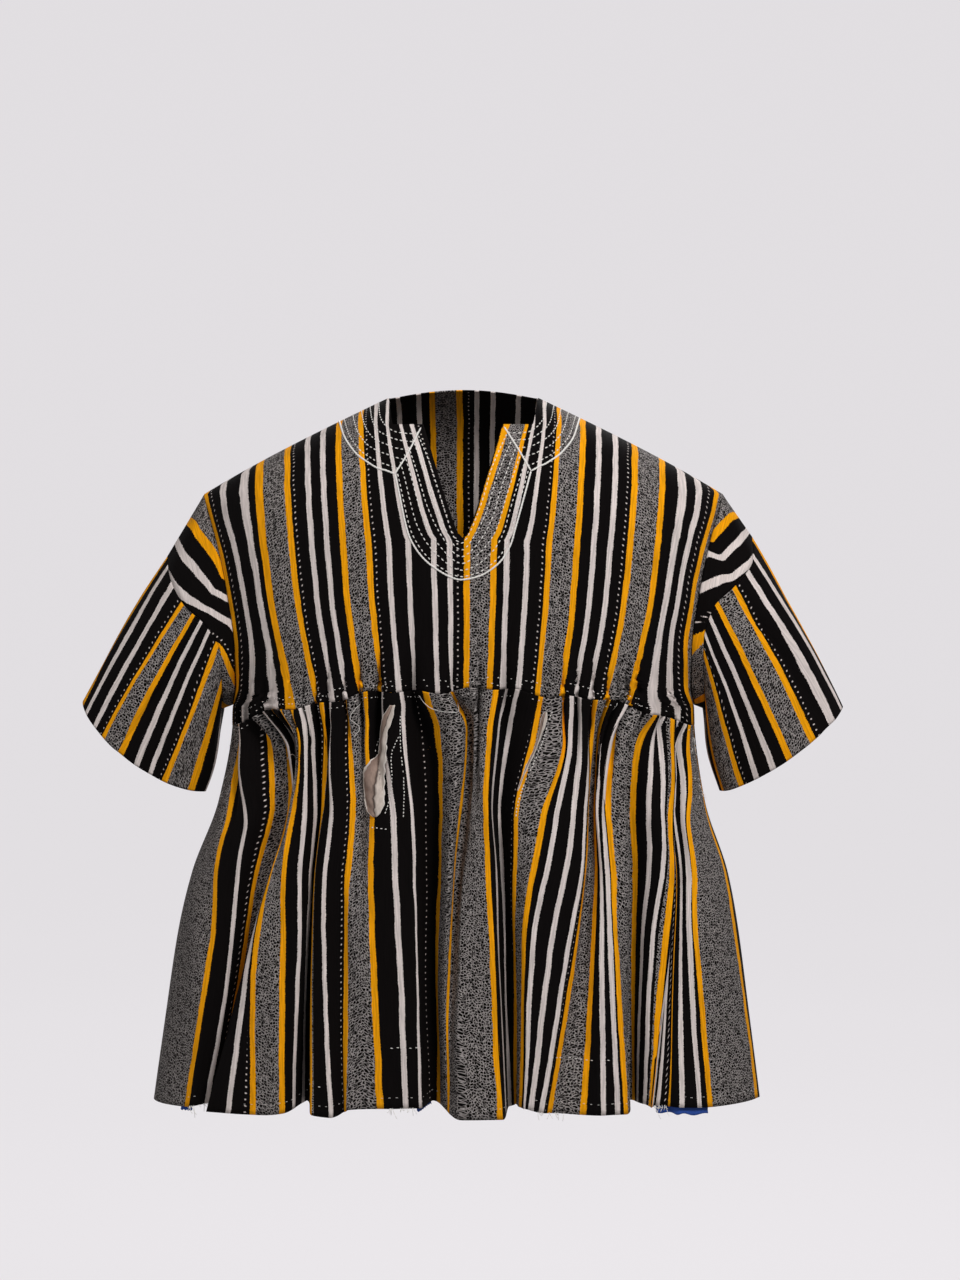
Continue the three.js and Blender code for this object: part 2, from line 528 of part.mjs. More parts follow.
/** A point of the skirt's back: a crest at the edges of each fold and a valley in its middle. */
function skirtBackPoint(cloth, height) {
  let start = 0;
  let fold = BACK_FOLDS[0];
  for (const next of BACK_FOLDS) {
    if (cloth < start + next.width || next === BACK_FOLDS.at(-1)) {
      fold = next;
      break;
    }
    start += next.width;
  }
  const phase = ((cloth - start) / fold.width) * 2 * Math.PI;
  const valley = (0.5 - 0.5 * Math.cos(phase)) ** BACK_VALLEY_POWER;
  const grow = smoothCurve([0, 0.12, 0.55, 1], [0, BACK_TOP_DEPTH * fold.deep[0], ...fold.deep]);
  const even = -90 + (180 * cloth) / backWidth;
  const overhang = -BACK_OVERHANG * Math.sin(phase) * smoothCurve([0, 0.15, 1], [0, 0.7, 1])(height);
  const ends = clamp(Math.min(cloth, backWidth - cloth) / SIDE_CALM, 0, 1);
  const turn = clamp(even + (overhang + fold.lean * valley * height) * ends, -90, 90);
  const depth = valley * grow(height) * lerp(SIDE_CALM_DEPTH, 1, ends) + gatherDepth(cloth, backWidth, height);
  return hangingPoint(turn, depth, height, HEM_Z - BACK_HEM_WAVE * Math.cos(phase), 'back');
}

const skirtGrid = (count, width, pointAt) => Array.from({ length: count + 1 }, (_, i) => (
  SKIRT_ROWS.map((height) => pointAt((i / count) * width, height))));

function skirtFront() {
  const grid = skirtGrid(FRONT_COLUMNS, frontWidth, skirtFrontPoint);
  return wallGeometry(grid, innerGrid(grid, gridNormals(grid), 'front', { topEdge: skirtTopZ }));
}

function skirtBack() {
  const grid = skirtGrid(BACK_COLUMN_COUNT, backWidth, skirtBackPoint).reverse();
  return wallGeometry(grid, innerGrid(grid, gridNormals(grid), 'back', { topEdge: skirtTopZ }));
}

/** The armhole's edge round the sleeve, for a share of the whole way round. */
function armholePoint(sign, around) {
  const front = around <= 180;
  const angle = front ? around : 360 - around;
  const z = lerp(SHOULDER_TIP_Z, ARMHOLE_BOTTOM_Z, (1 - Math.cos(angle * degrees)) / 2);
  const x = sign * (angle === 0 ? SHOULDER_TIP_X : armholeX(z));
  return facePoint(x, z, front ? 'front' : 'back');
}

const curvesOf = (table) => ['x', 'y', 'z'].map((axis) => tableCurve(table, 'around', axis));
const seamCurves = { right: curvesOf(SLEEVE_SEAM.right), left: curvesOf(SLEEVE_SEAM.left) };

/** The seam between band and flare. */
function sleeveSeamPoint(sign, around) {
  const front = around <= 180;
  const [x, y, z] = seamCurves[sideOf(sign)].map((curve) => curve(front ? around : 360 - around));
  return new THREE.Vector3(sign * x, front ? -y : y, z);
}

/** The cuff: a flattened ring whose middle hangs further out than its ends. */
function cuffPoint(sign, around) {
  const cuff = CUFF[sideOf(sign)];
  const along = (1 + Math.cos(around * degrees)) / 2;
  const x = lerp(cuff.underX, cuff.topX, along);
  const z = lerp(cuff.underZ, cuff.topZ, along);
  const length = Math.hypot(cuff.topX - cuff.underX, cuff.topZ - cuff.underZ);
  const across = Math.sin(around * degrees);
  const hang = cuff.bulge * Math.abs(across) ** CUFF_HANG_POWER;
  const outX = (cuff.topZ - cuff.underZ) / length;
  const outZ = -(cuff.topX - cuff.underX) / length;
  const y = -cuff.halfDepth * Math.sign(across) * Math.abs(across) ** CUFF_FLAT_POWER;
  return new THREE.Vector3(sign * (x + hang * outX), y, z + hang * outZ);
}

/** The flare between seam and cuff: it leaves the seam along a rounded line. */
function flarePoint(sign, around, down) {
  const seam = sleeveSeamPoint(sign, around);
  const point = seam.lerp(cuffPoint(sign, around), down);
  point.x += sign * FLARE_CROWN * Math.sin(Math.PI * down) * Math.cos(around * degrees);
  point.y *= 1 + FLARE_SWELL * Math.sin(Math.PI * down);
  return point;
}

/** Columns of a sleeve piece run left to right as seen from outside it. */
const sleeveOrder = (sign, columns) => (sign < 0 ? columns : columns.reverse());

/** A tube's wall. Its end rings are moved in towards their own middle, so that two pieces
 *  that meet at a seam end in the same direction. */
function sleeveWall(sign, columns) {
  const grid = sleeveOrder(sign, columns);
  const normals = gridNormals(grid, true);
  const last = grid[0].length - 1;
  const middle = (row) => grid
    .reduce((sum, column) => sum.add(column[row]), new THREE.Vector3())
    .divideScalar(grid.length);
  const middles = { 0: middle(0), [last]: middle(last) };
  const inner = grid.map((column, i) => column.map((point, j) => {
    const out = middles[j] ? point.clone().sub(middles[j]).normalize() : normals[i][j];
    return point.clone().addScaledVector(out, -WALL);
  }));
  return wallGeometry(grid, inner, { closed: true });
}

/** Band of a sleeve: from just outside the armhole's edge to just inside the flare's seam.
 *  Every second column starts half way between two corners of the armhole's faceted edge. */
function sleeveBand(sign) {
  const step = 360 / SLEEVE_COLUMNS;
  const columns = [];
  for (let i = 0; i < SLEEVE_COLUMNS; i += 1) {
    const reach = i % 2 === 0 ? 0 : step;
    const from = armholePoint(sign, i * step - reach).lerp(armholePoint(sign, i * step + reach), 0.5);
    const to = sleeveSeamPoint(sign, i * step);
    const length = from.distanceTo(to);
    const points = [];
    for (let row = 0; row <= BAND_ROWS; row += 1) {
      const share = lerp(SEAM_GAP * 2, length - SEAM_GAP * 1.5, row / BAND_ROWS) / length;
      points.push(from.clone().lerp(to, share));
    }
    columns.push(points);
  }
  return sleeveWall(sign, columns);
}

/** Flare of a sleeve, with its pleats. */
function sleeveFlare(sign) {
  const rows = SLEEVE_PLEATS[sideOf(sign)].map((row) => ({ ...row, cloth: row.cloth * 360 }));
  const pleats = foldSurface(rows, SLEEVE_HEIGHTS);
  const columns = [];
  for (let i = 0; i < SLEEVE_COLUMNS; i += 1) {
    const cloth = (i * 360) / SLEEVE_COLUMNS;
    const points = [];
    for (let row = 0; row <= FLARE_ROWS; row += 1) {
      const down = row / FLARE_ROWS;
      const { turn, depth } = pleats(cloth, down);
      const middle = flarePoint(sign, 0, down).lerp(flarePoint(sign, 180, down), 0.5);
      const point = flarePoint(sign, turn, down);
      const inward = middle.sub(point).normalize();
      point.addScaledVector(inward, depth * Math.min(1, down * PLEAT_START));
      points.push(point);
    }
    columns.push(points);
  }
  return sleeveWall(sign, columns);
}

/** A pocket lining: a leaf on the skirt's front, made from the skirt's points moved out. */
function pocketLining(pocket) {
  const outer = [];
  const inner = [];
  for (let i = -LEAF_HALF_COLUMNS; i <= LEAF_HALF_COLUMNS; i += 1) {
    const outerColumn = [];
    const innerColumn = [];
    for (let j = 0; j <= LEAF_ROWS; j += 1) {
      const along = j / LEAF_ROWS;
      const full = Math.sin(Math.PI * along ** LEAF_LOW) ** LEAF_FULL;
      const half = (pocket.width / 2) * lerp(full, 1, LEAF_TIP);
      const cloth = lerp(pocket.cloth[0], pocket.cloth[1], along) + (i / LEAF_HALF_COLUMNS) * half;
      const height = lerp(pocket.height[0], pocket.height[1], along);
      const { point, normal } = facetPoint(cloth, height);
      innerColumn.push(point.clone().addScaledVector(normal, LEAF_CLEARANCE));
      outerColumn.push(point.clone().addScaledVector(normal, LEAF_CLEARANCE + LEAF_THICKNESS));
    }
    outer.push(outerColumn);
    inner.push(innerColumn);
  }
  return wallGeometry(outer, inner);
}

/** A point on the facets of the skirt's front, with the facet's outward direction. */
function facetPoint(cloth, height) {
  const place = (cloth / frontWidth) * FRONT_COLUMNS;
  const i = clamp(Math.floor(place), 0, FRONT_COLUMNS - 1);
  let j = 0;
  while (j < SKIRT_ROWS.length - 2 && height > SKIRT_ROWS[j + 1]) j += 1;
  const corner = (di, dj) => skirtFrontPoint(((i + di) / FRONT_COLUMNS) * frontWidth, SKIRT_ROWS[j + dj]);
  const f = place - i;
  const g = (height - SKIRT_ROWS[j]) / (SKIRT_ROWS[j + 1] - SKIRT_ROWS[j]);
  const [a, b, c, d] = [corner(0, 0), corner(0, 1), corner(1, 1), corner(1, 0)];
  const across = d.clone().sub(a);
  const down = b.clone().sub(a);
  const point = a.clone().lerp(d, f).lerp(b.clone().lerp(c, f), g);
  return { point, normal: down.cross(across).normalize() };
}

const smock = new THREE.Group();

/** Adds one named piece with a material of its own. */
function addPiece(name, geometry, color, roughness = 0.92) {
  const material = new THREE.MeshStandardMaterial({ color, roughness, metalness: 0 });
  const mesh = new THREE.Mesh(geometry, material);
  mesh.name = name;
  smock.add(mesh);
}

addPiece('yoke_front', yokeFront(), '#2a2523');
addPiece('yoke_back', yokeBack(), '#2a2523');
addPiece('skirt_front', skirtFront(), '#35302c');
addPiece('skirt_back', skirtBack(), '#35302c');
for (const [side, sign] of [['right', -1], ['left', 1]]) {
  addPiece(`sleeve_band_${side}`, sleeveBand(sign), '#2f2a28');
  addPiece(`sleeve_flare_${side}`, sleeveFlare(sign), '#383430');
  addPiece(`pocket_lining_${side}`, pocketLining(POCKETS[side]), '#d9cfc6', 0.95);
}

export default smock;
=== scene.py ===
"""Fugu smock: strip cloth, stitching and a studio, laid out as an add-on with one operator per group of pieces."""

import functools
import math

import bpy
import numpy as np
from bpy.props import FloatProperty, FloatVectorProperty, IntProperty, PointerProperty
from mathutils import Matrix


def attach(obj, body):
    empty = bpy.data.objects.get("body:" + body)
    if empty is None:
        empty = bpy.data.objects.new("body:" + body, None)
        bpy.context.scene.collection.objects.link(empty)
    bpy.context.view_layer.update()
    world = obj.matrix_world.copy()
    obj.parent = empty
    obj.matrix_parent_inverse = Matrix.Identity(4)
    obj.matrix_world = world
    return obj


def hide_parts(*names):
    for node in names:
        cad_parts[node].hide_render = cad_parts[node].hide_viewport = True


bl_info = {
    "name": "Fugu Smock",
    "version": (1, 0, 0),
    "blender": (4, 5, 0),
    "location": "3D View > Sidebar > Smock",
    "description": "Builds a gathered smock of sewn cloth strips, with its embroidery and a studio",
    "category": "Add Mesh",
}

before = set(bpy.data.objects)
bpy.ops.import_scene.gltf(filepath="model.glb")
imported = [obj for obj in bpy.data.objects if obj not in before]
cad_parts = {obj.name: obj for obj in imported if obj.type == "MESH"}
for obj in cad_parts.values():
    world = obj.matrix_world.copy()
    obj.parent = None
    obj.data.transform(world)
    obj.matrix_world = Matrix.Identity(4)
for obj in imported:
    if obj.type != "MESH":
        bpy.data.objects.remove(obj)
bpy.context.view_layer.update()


def linear(colour):
    """An sRGB hex colour as linear red, green, blue and alpha."""
    srgb = np.array([int(colour[i:i + 2], 16) for i in (1, 3, 5)]) / 255
    value = np.where(srgb <= 0.04045, srgb / 12.92, ((srgb + 0.055) / 1.055) ** 2.4)
    return (*value.tolist(), 1.0)


# ---------------------------------------------------------------- settings

class SmockSizes(bpy.types.PropertyGroup):
    """Sizes that a user would change."""
    cloth: FloatProperty(
        name="Cloth", description="Thickness of the strip cloth", default=0.0014, min=0.0005, max=0.002,
        subtype="DISTANCE", unit="LENGTH")
    columns: IntProperty(
        name="Skirt columns", description="Faces across the skirt's front", default=430, min=120, max=460)
    ripple: FloatProperty(
        name="Ripple", description="Depth of the small ripples in the cloth", default=0.0019, min=0.0,
        max=0.004, subtype="DISTANCE", unit="LENGTH")
    stitch: FloatProperty(
        name="Stitch", description="Length of one running stitch", default=0.0031, min=0.001, max=0.006,
        subtype="DISTANCE", unit="LENGTH")
    thread: FloatProperty(
        name="Thread", description="Thickness of the embroidery thread", default=0.0013, min=0.0005,
        max=0.003, subtype="DISTANCE", unit="LENGTH")


class SmockColours(bpy.types.PropertyGroup):
    """Colours that a user would change."""
    ground: FloatVectorProperty(
        name="Ground", description="Black of the warp", size=4, subtype="COLOR", default=linear("#0B0808"))
    white: FloatVectorProperty(
        name="White stripe", description="White of the stripes", size=4, subtype="COLOR",
        default=linear("#DED2CE"))
    orange: FloatVectorProperty(
        name="Orange stripe", description="Orange of the stripes", size=4, subtype="COLOR",
        default=linear("#F6A40A"))
    fleck: FloatVectorProperty(
        name="Fleck", description="Light thread of the grey bands", size=4, subtype="COLOR",
        default=linear("#A09997"))
    lining: FloatVectorProperty(
        name="Lining", description="Cotton of the pocket linings", size=4, subtype="COLOR",
        default=linear("#D6C8BE"))
    thread: FloatVectorProperty(
        name="Thread", description="Embroidery thread", size=4, subtype="COLOR", default=linear("#F0ECE8"))


# ---------------------------------------------------------------- tables (mm)

ROUNDNESS = 2.4
SEAM_GAP = 0.3
NECK_SIDE_X, NECK_SIDE_THREAD, NECK_CORNER_THREAD = 80, 55.5, 42
NECK_SIDE_Z, NECK_FRONT_Z, NECK_BACK_RISE, BACK_NECK_SHARE = 7.5, -26.5, 20, 0.34
SLIT_SPREAD, SLIT_REACH, SLIT_BOTTOM_Z = 41, 64, -147
SHOULDER_TIP_X, SHOULDER_TIP_Z = 277, -95
ROUND_AT_NECK, ROUND_AT_TIP, RIDGE_CURVE = 130, 95, 0.08
ARMHOLE_BOTTOM_Z, SIDE_SEAM_Z, SIDE_SEAM_X = -320, -342, 248
YOKE_EDGE, YOKE_BEND = 249, 200
CENTRE_SEAM_Z, SEAM_CURVE, HEM_Z = -302, 2.2, -734
GATHER_PITCH, GATHER_DEPTH, GATHER_FADE = 35, 3.2, 0.22
PINCH_PITCH, PINCH_DEPTH, PINCH_PULL, FOLD_GAIN = 37, 16.0, 4.2, 1.32
# Strength of the pleats at shares of the way down the skirt, and how fast the seam's waver dies out
PINCH_HEIGHTS, PINCH_STRENGTHS, WAVE_FADE = (0, 0.03, 0.08, 0.16, 0.3), (0.72, 1, 0.72, 0.36, 0), 13

# Half widths right and left and half depths front and back of the body, at each height z
BODY = np.array([
    (-738, 330, 316, 150, 142), (-650, 318, 305, 145, 137), (-557, 304, 293, 140, 132),
    (-498, 290, 282, 136, 128), (-423, 262, 258, 131, 123), (-342, 247, 247, 127, 118),
    (-320, 246, 246, 127, 118), (-300, 245, 245, 127, 118), (-262, 253, 253, 127, 118),
    (-200, 264, 264, 127, 118), (-155, 268, 268, 126, 117), (-120, 274, 274, 125, 116),
    (-95, 285, 285, 124, 115), (40, 300, 300, 122, 112)])
ARMHOLE = np.array([
    (-342, 248), (-320, 246), (-300, 241), (-262, 240), (-200, 248), (-155, 258), (-120, 269), (-95, 277)])
FAN = np.array([(-342, 0.86), (-302, 0.895), (-200, 1), (20, 1.11)])

# Folds of the skirt's front: place on the cloth, then turn in degrees and depth at five heights
# from the seam to the hem, then how far the hem drops
SKIRT_HEIGHTS = np.array([0, 0.1, 0.3, 0.59, 1])
FRONT_FOLDS = np.array([
    (0, -90, -90, -90, -90, -90, 0, 0, 0, 0, 0, 4),
    (59, -79, -75, -64, -55, -58, 0, 2, 2, 2, 2, 2),
    (89, -73, -68, -54, -50, -55, 0, 0, 2, 10, 18, 0),
    (118, -64, -54, -48, -48.5, -54, 2, 16, 27, 30, 30, -4),
    (161, -56, -45, -41.5, -43, -50, 2, 9, 22, 26, 15, 0),
    (202, -51, -42.5, -39.5, -44, -50, 1, 12, 14, 6, 0, 4),
    (247, -47, -41, -40, -40, -36, 0, 6, 4, 0, 0, 4),
    (282, -43, -39.5, -37.5, -33, -30, 0, 0, 0, 1, 4, 2),
    (300, -40, -37, -33, -29, -28, 0, 0, 1, 5, 15, -2),
    (328, -36, -35, -31, -28, -27, 2, 15, 19, 27, 32, -6),
    (361, -33, -32, -30, -27, -24, 1, 8, 10, 10, 1, 2),
    (383, -30, -30, -27, -24, -20, 0, 0, 1, 2, 0, 4),
    (402, -27, -26, -23, -21, -18, 0, 1, 4, 8, 8, 0),
    (421, -24, -23, -20, -18, -17, 1, 8, 9, 2, 0, -4),
    (453, -19, -19, -16, -13, -10, 1, 5, 2, 0, 0, -6),
    (494, -12, -11, -8, -6, -5, 0, 0, 0, 0, 5, -6),
    (518, -7.5, -5.5, -4.4, -4, -3.4, 3, 20, 26, 30, 32, -8),
    (544, -3, -0.6, -1, -1.8, -2, 0, 0, 1, 8, 18, -2),
    (564, -0.5, 1.2, 0.2, -0.9, -1.3, 1, 13, 17, 17, 10, 2),
    (580, 1, 1.8, 0.6, -0.4, 0, 0, 7, 8, 5, 0, 5),
    (598, 3, 2.4, 1.6, 1.4, 2.2, 0, 2, 3, 3, 0, 5),
    (618, 5.5, 4.4, 3.5, 4, 5, 0, 0, 0, 0, 1, 5),
    (653, 10.5, 8.5, 6, 6, 6.4, 2, 16, 26, 32, 32, -2),
    (678, 15, 13, 8.6, 7.2, 7, 0, 1, 5, 18, 26, -6),
    (710, 20.5, 20.5, 13.8, 8.6, 7.6, 0, 0, 0, 4, 12, -6),
    (728, 23, 22.5, 17.6, 10.8, 8.2, 1, 4, 2, 0, 0, -6),
    (767, 29, 28.5, 25, 18, 11, 0, 2, 2, 0, 0, -2),
    (793, 32.5, 31, 27.4, 21.4, 14.6, 2, 16, 19, 14, 6, 0),
    (838, 37, 32.6, 28.4, 24.6, 22.4, 1, 10, 9, 2, 0, 2),
    (877, 42, 36, 31, 28.4, 28, 0, 1, 3, 0, 2, 2),
    (898, 45.5, 40, 36.2, 31.8, 29.8, 0, 0, 1, 7, 13, -2),
    (933, 50.5, 44, 39.4, 34.8, 31.6, 2, 14, 23, 29, 32, -6),
    (972, 59, 56, 48.5, 38, 33, 0, 0, 0, 5, 10, -6),
    (994, 64, 63, 53.2, 43, 34, 1, 4, 1, 0, 0, -4),
    (1023, 68.5, 67, 56.8, 45.8, 36.6, 2, 13, 16, 13, 8, -4),
    (1070, 75, 72, 59, 48, 43, 1, 10, 11, 5, 0, -2),
    (1107, 81, 78.5, 63, 54, 54, 0, 3, 3, 0, 0, 0),
    (1142, 87.5, 86, 79, 77, 77, 0, 0, 0, 0, 0, 0),
    (1155, 90, 90, 90, 90, 90, 0, 0, 0, 0, 0, 4)])
SKIRT_WIDTH = 1155

# Folds of the skirt's back: cloth in the fold, depth at mid height and at the hem, lean in degrees
BACK_FOLDS = np.array([
    (96, 10, 16, -1), (84, 18, 30, 2), (112, 12, 24, -2), (78, 20, 32, 1), (104, 10, 20, 3), (92, 22, 34, -1),
    (116, 14, 28, -3), (80, 18, 26, 1), (98, 12, 30, 2), (108, 20, 32, -2), (86, 14, 22, 1), (101, 8, 14, 0)])

# Seam between a sleeve's band and flare: degrees round from the top by the front, then x, y, z
SLEEVE_SEAM = {
    -1: np.array([
        (0, 317, 0, -162), (30, 311, 30, -184), (60, 294, 53, -214), (90, 270, 63, -236),
        (120, 254, 60, -268), (150, 255, 35, -306), (180, 259, 0, -325)]),
    1: np.array([
        (0, 309, 0, -141), (30, 307, 30, -166), (60, 286, 54, -194), (90, 262, 63, -218),
        (120, 252, 60, -256), (150, 255, 35, -303), (180, 259, 0, -325)]),
}
# Cuffs: top corner x and z, underarm corner x and z, half depth, hang of the middle
CUFF = {-1: (408, -313, 275, -413, 46, 20), 1: (406, -320, 272, -413, 46, 12)}
# Pleats: share of the cloth, turn at seam, middle and cuff, depth at the same three
SLEEVE_PLEATS = {
    -1: np.array([
        (0, 0, 0, 0, 0, 0, 0), (0.17, 61.2, 66, 62, 0, 0, 1), (0.2, 72, 79, 74, 1, 1, 1),
        (0.225, 81, 83, 81, 5, 7, 2), (0.27, 97.2, 91, 97, 3, 3, 1), (0.38, 136.8, 130, 137, 1, 1, 0),
        (0.5, 180, 180, 180, 0, 0, 0), (0.66, 237.6, 240, 238, 2, 1, 0), (0.7, 252, 254, 252, 6, 7, 3),
        (0.75, 270, 270, 270, 2, 1, 0), (1, 360, 360, 360, 0, 0, 0)]),
    1: np.array([
        (0, 0, 0, 0, 0, 0, 0), (0.15, 54, 42, 36, 1, 0, 0), (0.19, 68.4, 52, 50, 6, 7, 3),
        (0.215, 77.4, 57, 60, 2, 2, 1), (0.27, 97.2, 80, 84, 0, 0, 0), (0.38, 136.8, 128, 134, 1, 1, 0),
        (0.5, 180, 180, 180, 0, 0, 0), (0.68, 244.8, 246, 244, 2, 1, 0), (0.72, 259.2, 260, 258, 6, 7, 3),
        (0.77, 277.2, 276, 276, 2, 1, 0), (1, 360, 360, 360, 0, 0, 0)]),
}

# The strip's repeat across its width. Each entry is where a stripe starts: orange, grey band, orange,
# black, white, black, white, black with a row of dots.
STRIP = 83.5
STRIP_EDGES = (0, 6, 27, 33, 44.3, 49.7, 61.8, 67.2)
DOT_LINE, DOT_PITCH, DOT_SIZE = 79.8, 6.4, 1.5

# Edges in the repeat of each kind of stripe: o and O are the two oranges beside the grey band, W and w the
# two whites, d the row of dots
STRIPE_MARGIN = 0.8
STRIPE_EDGES = {"o": (0, 6), "O": (27, 33), "W": (44.3, 49.7), "w": (61.8, 67.2), "d": (77.8, 81.8)}

# Strips: start and end on the cloth (mm), the way the repeat runs, and the middle of each stripe
YOKE_STRIPS = (
    (-249, -42, -1, "o-246 d-238 w-226 W-210 O-200 o-172 d-165.5 w-151 W-135.5 O-119 o-94 d-87.5 w-73.5 W-54"),
    (-42, 249, 1, "W-29 w-13 d-5 o4.4 O31 W44 w64 d80 o86 O114 W131 w148 d161 o168 O196 W210 w222 d231 o240"),
)
SKIRT_FRONT_STRIPS = (
    (0, 70, 1, "o-8 O54"), (70, 98, 1, "W86"), (98, 200, 1, "o108 O138 W156 w174 d190"), (200, 236, 1, "W226"),
    (236, 291, 1, "o243 O280"), (291, 366, 1, "W297 w316 d350 o359"), (366, 404, 1, "W384"),
    (404, 559, 1, "o412 O447 W474 w494 d511 o528 O556"), (559, 672, 1, "o551 O615 W634 w652"),
    (672, 757, 1, "o679 O714 W728 w747"), (757, 774, 1, "W767"), (774, 852, 1, "o780 O817 W841"),
    (852, 870, 1, "w862"), (870, 980, 1, "o877 O943 W957 w973"), (980, 1045, 1, "O988 W1003 w1021 d1036"),
    (1045, 1095, 1, "W1064 w1088"), (1095, 1155, 1, "o1100 O1143"),
)
BACK_CHART = 1030
# A plain repeat from the side seam to the middle, in whole millimetres, and the same mirrored
REPEAT = [(kind, int(first + STRIP * turn)) for turn in range(6)
          for kind, first in (("o", 10), ("O", 37), ("W", 54), ("w", 71), ("d", 87))][:-1]
SKIRT_BACK_STRIPS = (
    (0, 515, 1, " ".join(f"{kind}{place}" for kind, place in REPEAT)),
    (515, BACK_CHART, -1, " ".join(f"{kind}{BACK_CHART - place}" for kind, place in reversed(REPEAT))),
)

# Places round the flares in degrees against the repeat, at the seam and at the cuff
FLARE_SEAM_RUN = {
    -1: ((0, 30), (14.5, 47), (39.5, 64.5), (59, 86.5), (74, 113.5), (84, 130.5), (96, 148), (108, 170),
         (141, 197), (177, 214), (200, 231.5), (225, 253.5), (250, 280.5), (272, 297.5), (292, 315), (315, 337),
         (360, 364)),
    1: ((0, 30), (26, 47), (44, 64.5), (62, 86.5), (84, 113.5), (98, 130.5), (112, 148), (124, 170), (158, 197),
        (178, 214), (200, 231.5), (225, 253.5), (250, 280.5), (272, 297.5), (292, 315), (315, 337), (360, 364)),
}
FLARE_CUFF_RUN = {
    -1: ((0, 21.7), (18.75, 30), (34, 47), (51, 64.5), (63, 86.5), (81.5, 113.5), (97.5, 130.5), (110, 148),
         (122, 170), (149, 197), (180, 214), (200, 231.5), (225, 253.5), (248, 280.5), (270, 297.5), (292, 315),
         (318, 337), (360, 355.7)),
    1: ((0, 28), (2.75, 30), (18, 47), (42, 64.5), (68, 86.5), (91, 113.5), (106, 130.5), (122, 148), (137, 170),
        (166, 197), (180, 214), (200, 231.5), (225, 253.5), (248, 280.5), (270, 297.5), (292, 315), (318, 337),
        (360, 362)),
}
# Degrees round a band against the repeat, at the armhole and at the flare's seam
BAND_ARM_RUN = {
    -1: ((0, 8), (40, 18), (77, 30), (90, 47), (103, 64.5), (180, 110)),
    1: ((0, 8), (56, 30), (64, 47), (84, 64.5), (96, 76), (180, 120)),
}
BAND_SEAM_RUN = {
    -1: ((0, 60), (40, 64.5), (80, 75), (103, 82), (180, 118)),
    1: ((0, 54), (30, 64.5), (80, 76), (110, 84), (180, 125)),
}

# Embroidery round the neck, each side from the front cusp to the middle of the back: x of the outline, its
# turn in degrees over the shoulder (positive in front, 0 on the ridge), then both of the neck's edge
NECK_RINGS = {
    -1: np.array([
        (69.8, 71, 43.6, 44.4), (84, 68, 58, 44.3), (96.9, 62.2, 69, 43.2), (113, 51.4, 76.5, 38),
        (125.8, 33, 79.5, 27), (132.5, 0, 80.5, 0), (125, -24, 77, -8), (96, -40, 60, -14.5), (50, -45, 30, -19),
        (0, -46, 0, -20.5)]),
    1: np.array([
        (70.2, 69.5, 42.7, 43.7), (79, 67.2, 57, 44.3), (88, 63.5, 68, 43.2), (103.7, 53.7, 76, 38),
        (117, 36.6, 79.5, 27), (124.7, 0, 80.5, 0), (119, -24, 77, -8), (93, -40, 60, -14.5), (50, -45, 30, -19),
        (0, -46, 0, -20.5)]),
}
NECK_ROWS = (0.1, 0.28, 0.46, 0.64, 0.82)
# Outline of the slit's embroidery and the slit's own edge, both as (x, z) from the left cusp to the right one
PLACKET = (
    (-69.8, -80.2), (-66.6, -93.8), (-58.2, -134.0), (-51.0, -152.6), (-38.7, -169.0), (-22.3, -181.3), (-6.9, -188.5),
    (5.4, -188.5), (21.8, -183.4), (38.2, -171.0), (48.5, -154.6), (54.6, -134.1), (62.9, -104.2), (70.2, -77.0))
SLIT_EDGE = (
    (-43.6, -29.6), (-30.8, -58.0), (-20.3, -89.7), (-14.1, -115.6), (-9.0, -138.2), (-0.8, -145.4), (5.4, -134.1),
    (15.6, -100.1), (25.9, -64.5), (42.7, -28.5))
PLACKET_ROWS = (0.07, 0.22, 0.38, 0.54, 0.7, 0.86)
CUSPS = (((-69.8, -80.2), (-56.6, -58.0), (-43.6, -30.5)), ((70.2, -77.0), (57.0, -53.7), (42.7, -29.5)))

# Pocket leaves on the skirt's cloth: height, left and right edge
POCKET_LEAVES = {
    "right": np.array([
        (0.03, 483, 487), (0.06, 476, 485), (0.10, 470, 479.5), (0.145, 464, 477.5), (0.17, 449, 476),
        (0.2, 440, 473), (0.24, 436, 469), (0.27, 438, 466), (0.29, 445, 461), (0.3, 451, 456)]),
    "left": np.array([
        (0.04, 690.5, 693.5), (0.06, 687.5, 693.5), (0.09, 686, 691), (0.13, 684, 687.2), (0.18, 679.5, 682.5),
        (0.24, 674.8, 676.4)]),
}
# Lines of topstitching beside the leaves, as (cloth, height)
POCKET_SEAMS = (
    ((479, 0.05), (467, 0.095), (461, 0.14)), ((488, 0.11), (481, 0.15), (478.5, 0.2), (473, 0.25), (466, 0.29)),
    ((491.5, 0.06), (489.5, 0.13), (488, 0.22), (484, 0.3)), ((449, 0.325), (466, 0.33)),
    ((697, 0.04), (692.5, 0.1), (688, 0.16), (682.5, 0.23), (678.5, 0.3)))


# ---------------------------------------------------------------- forms

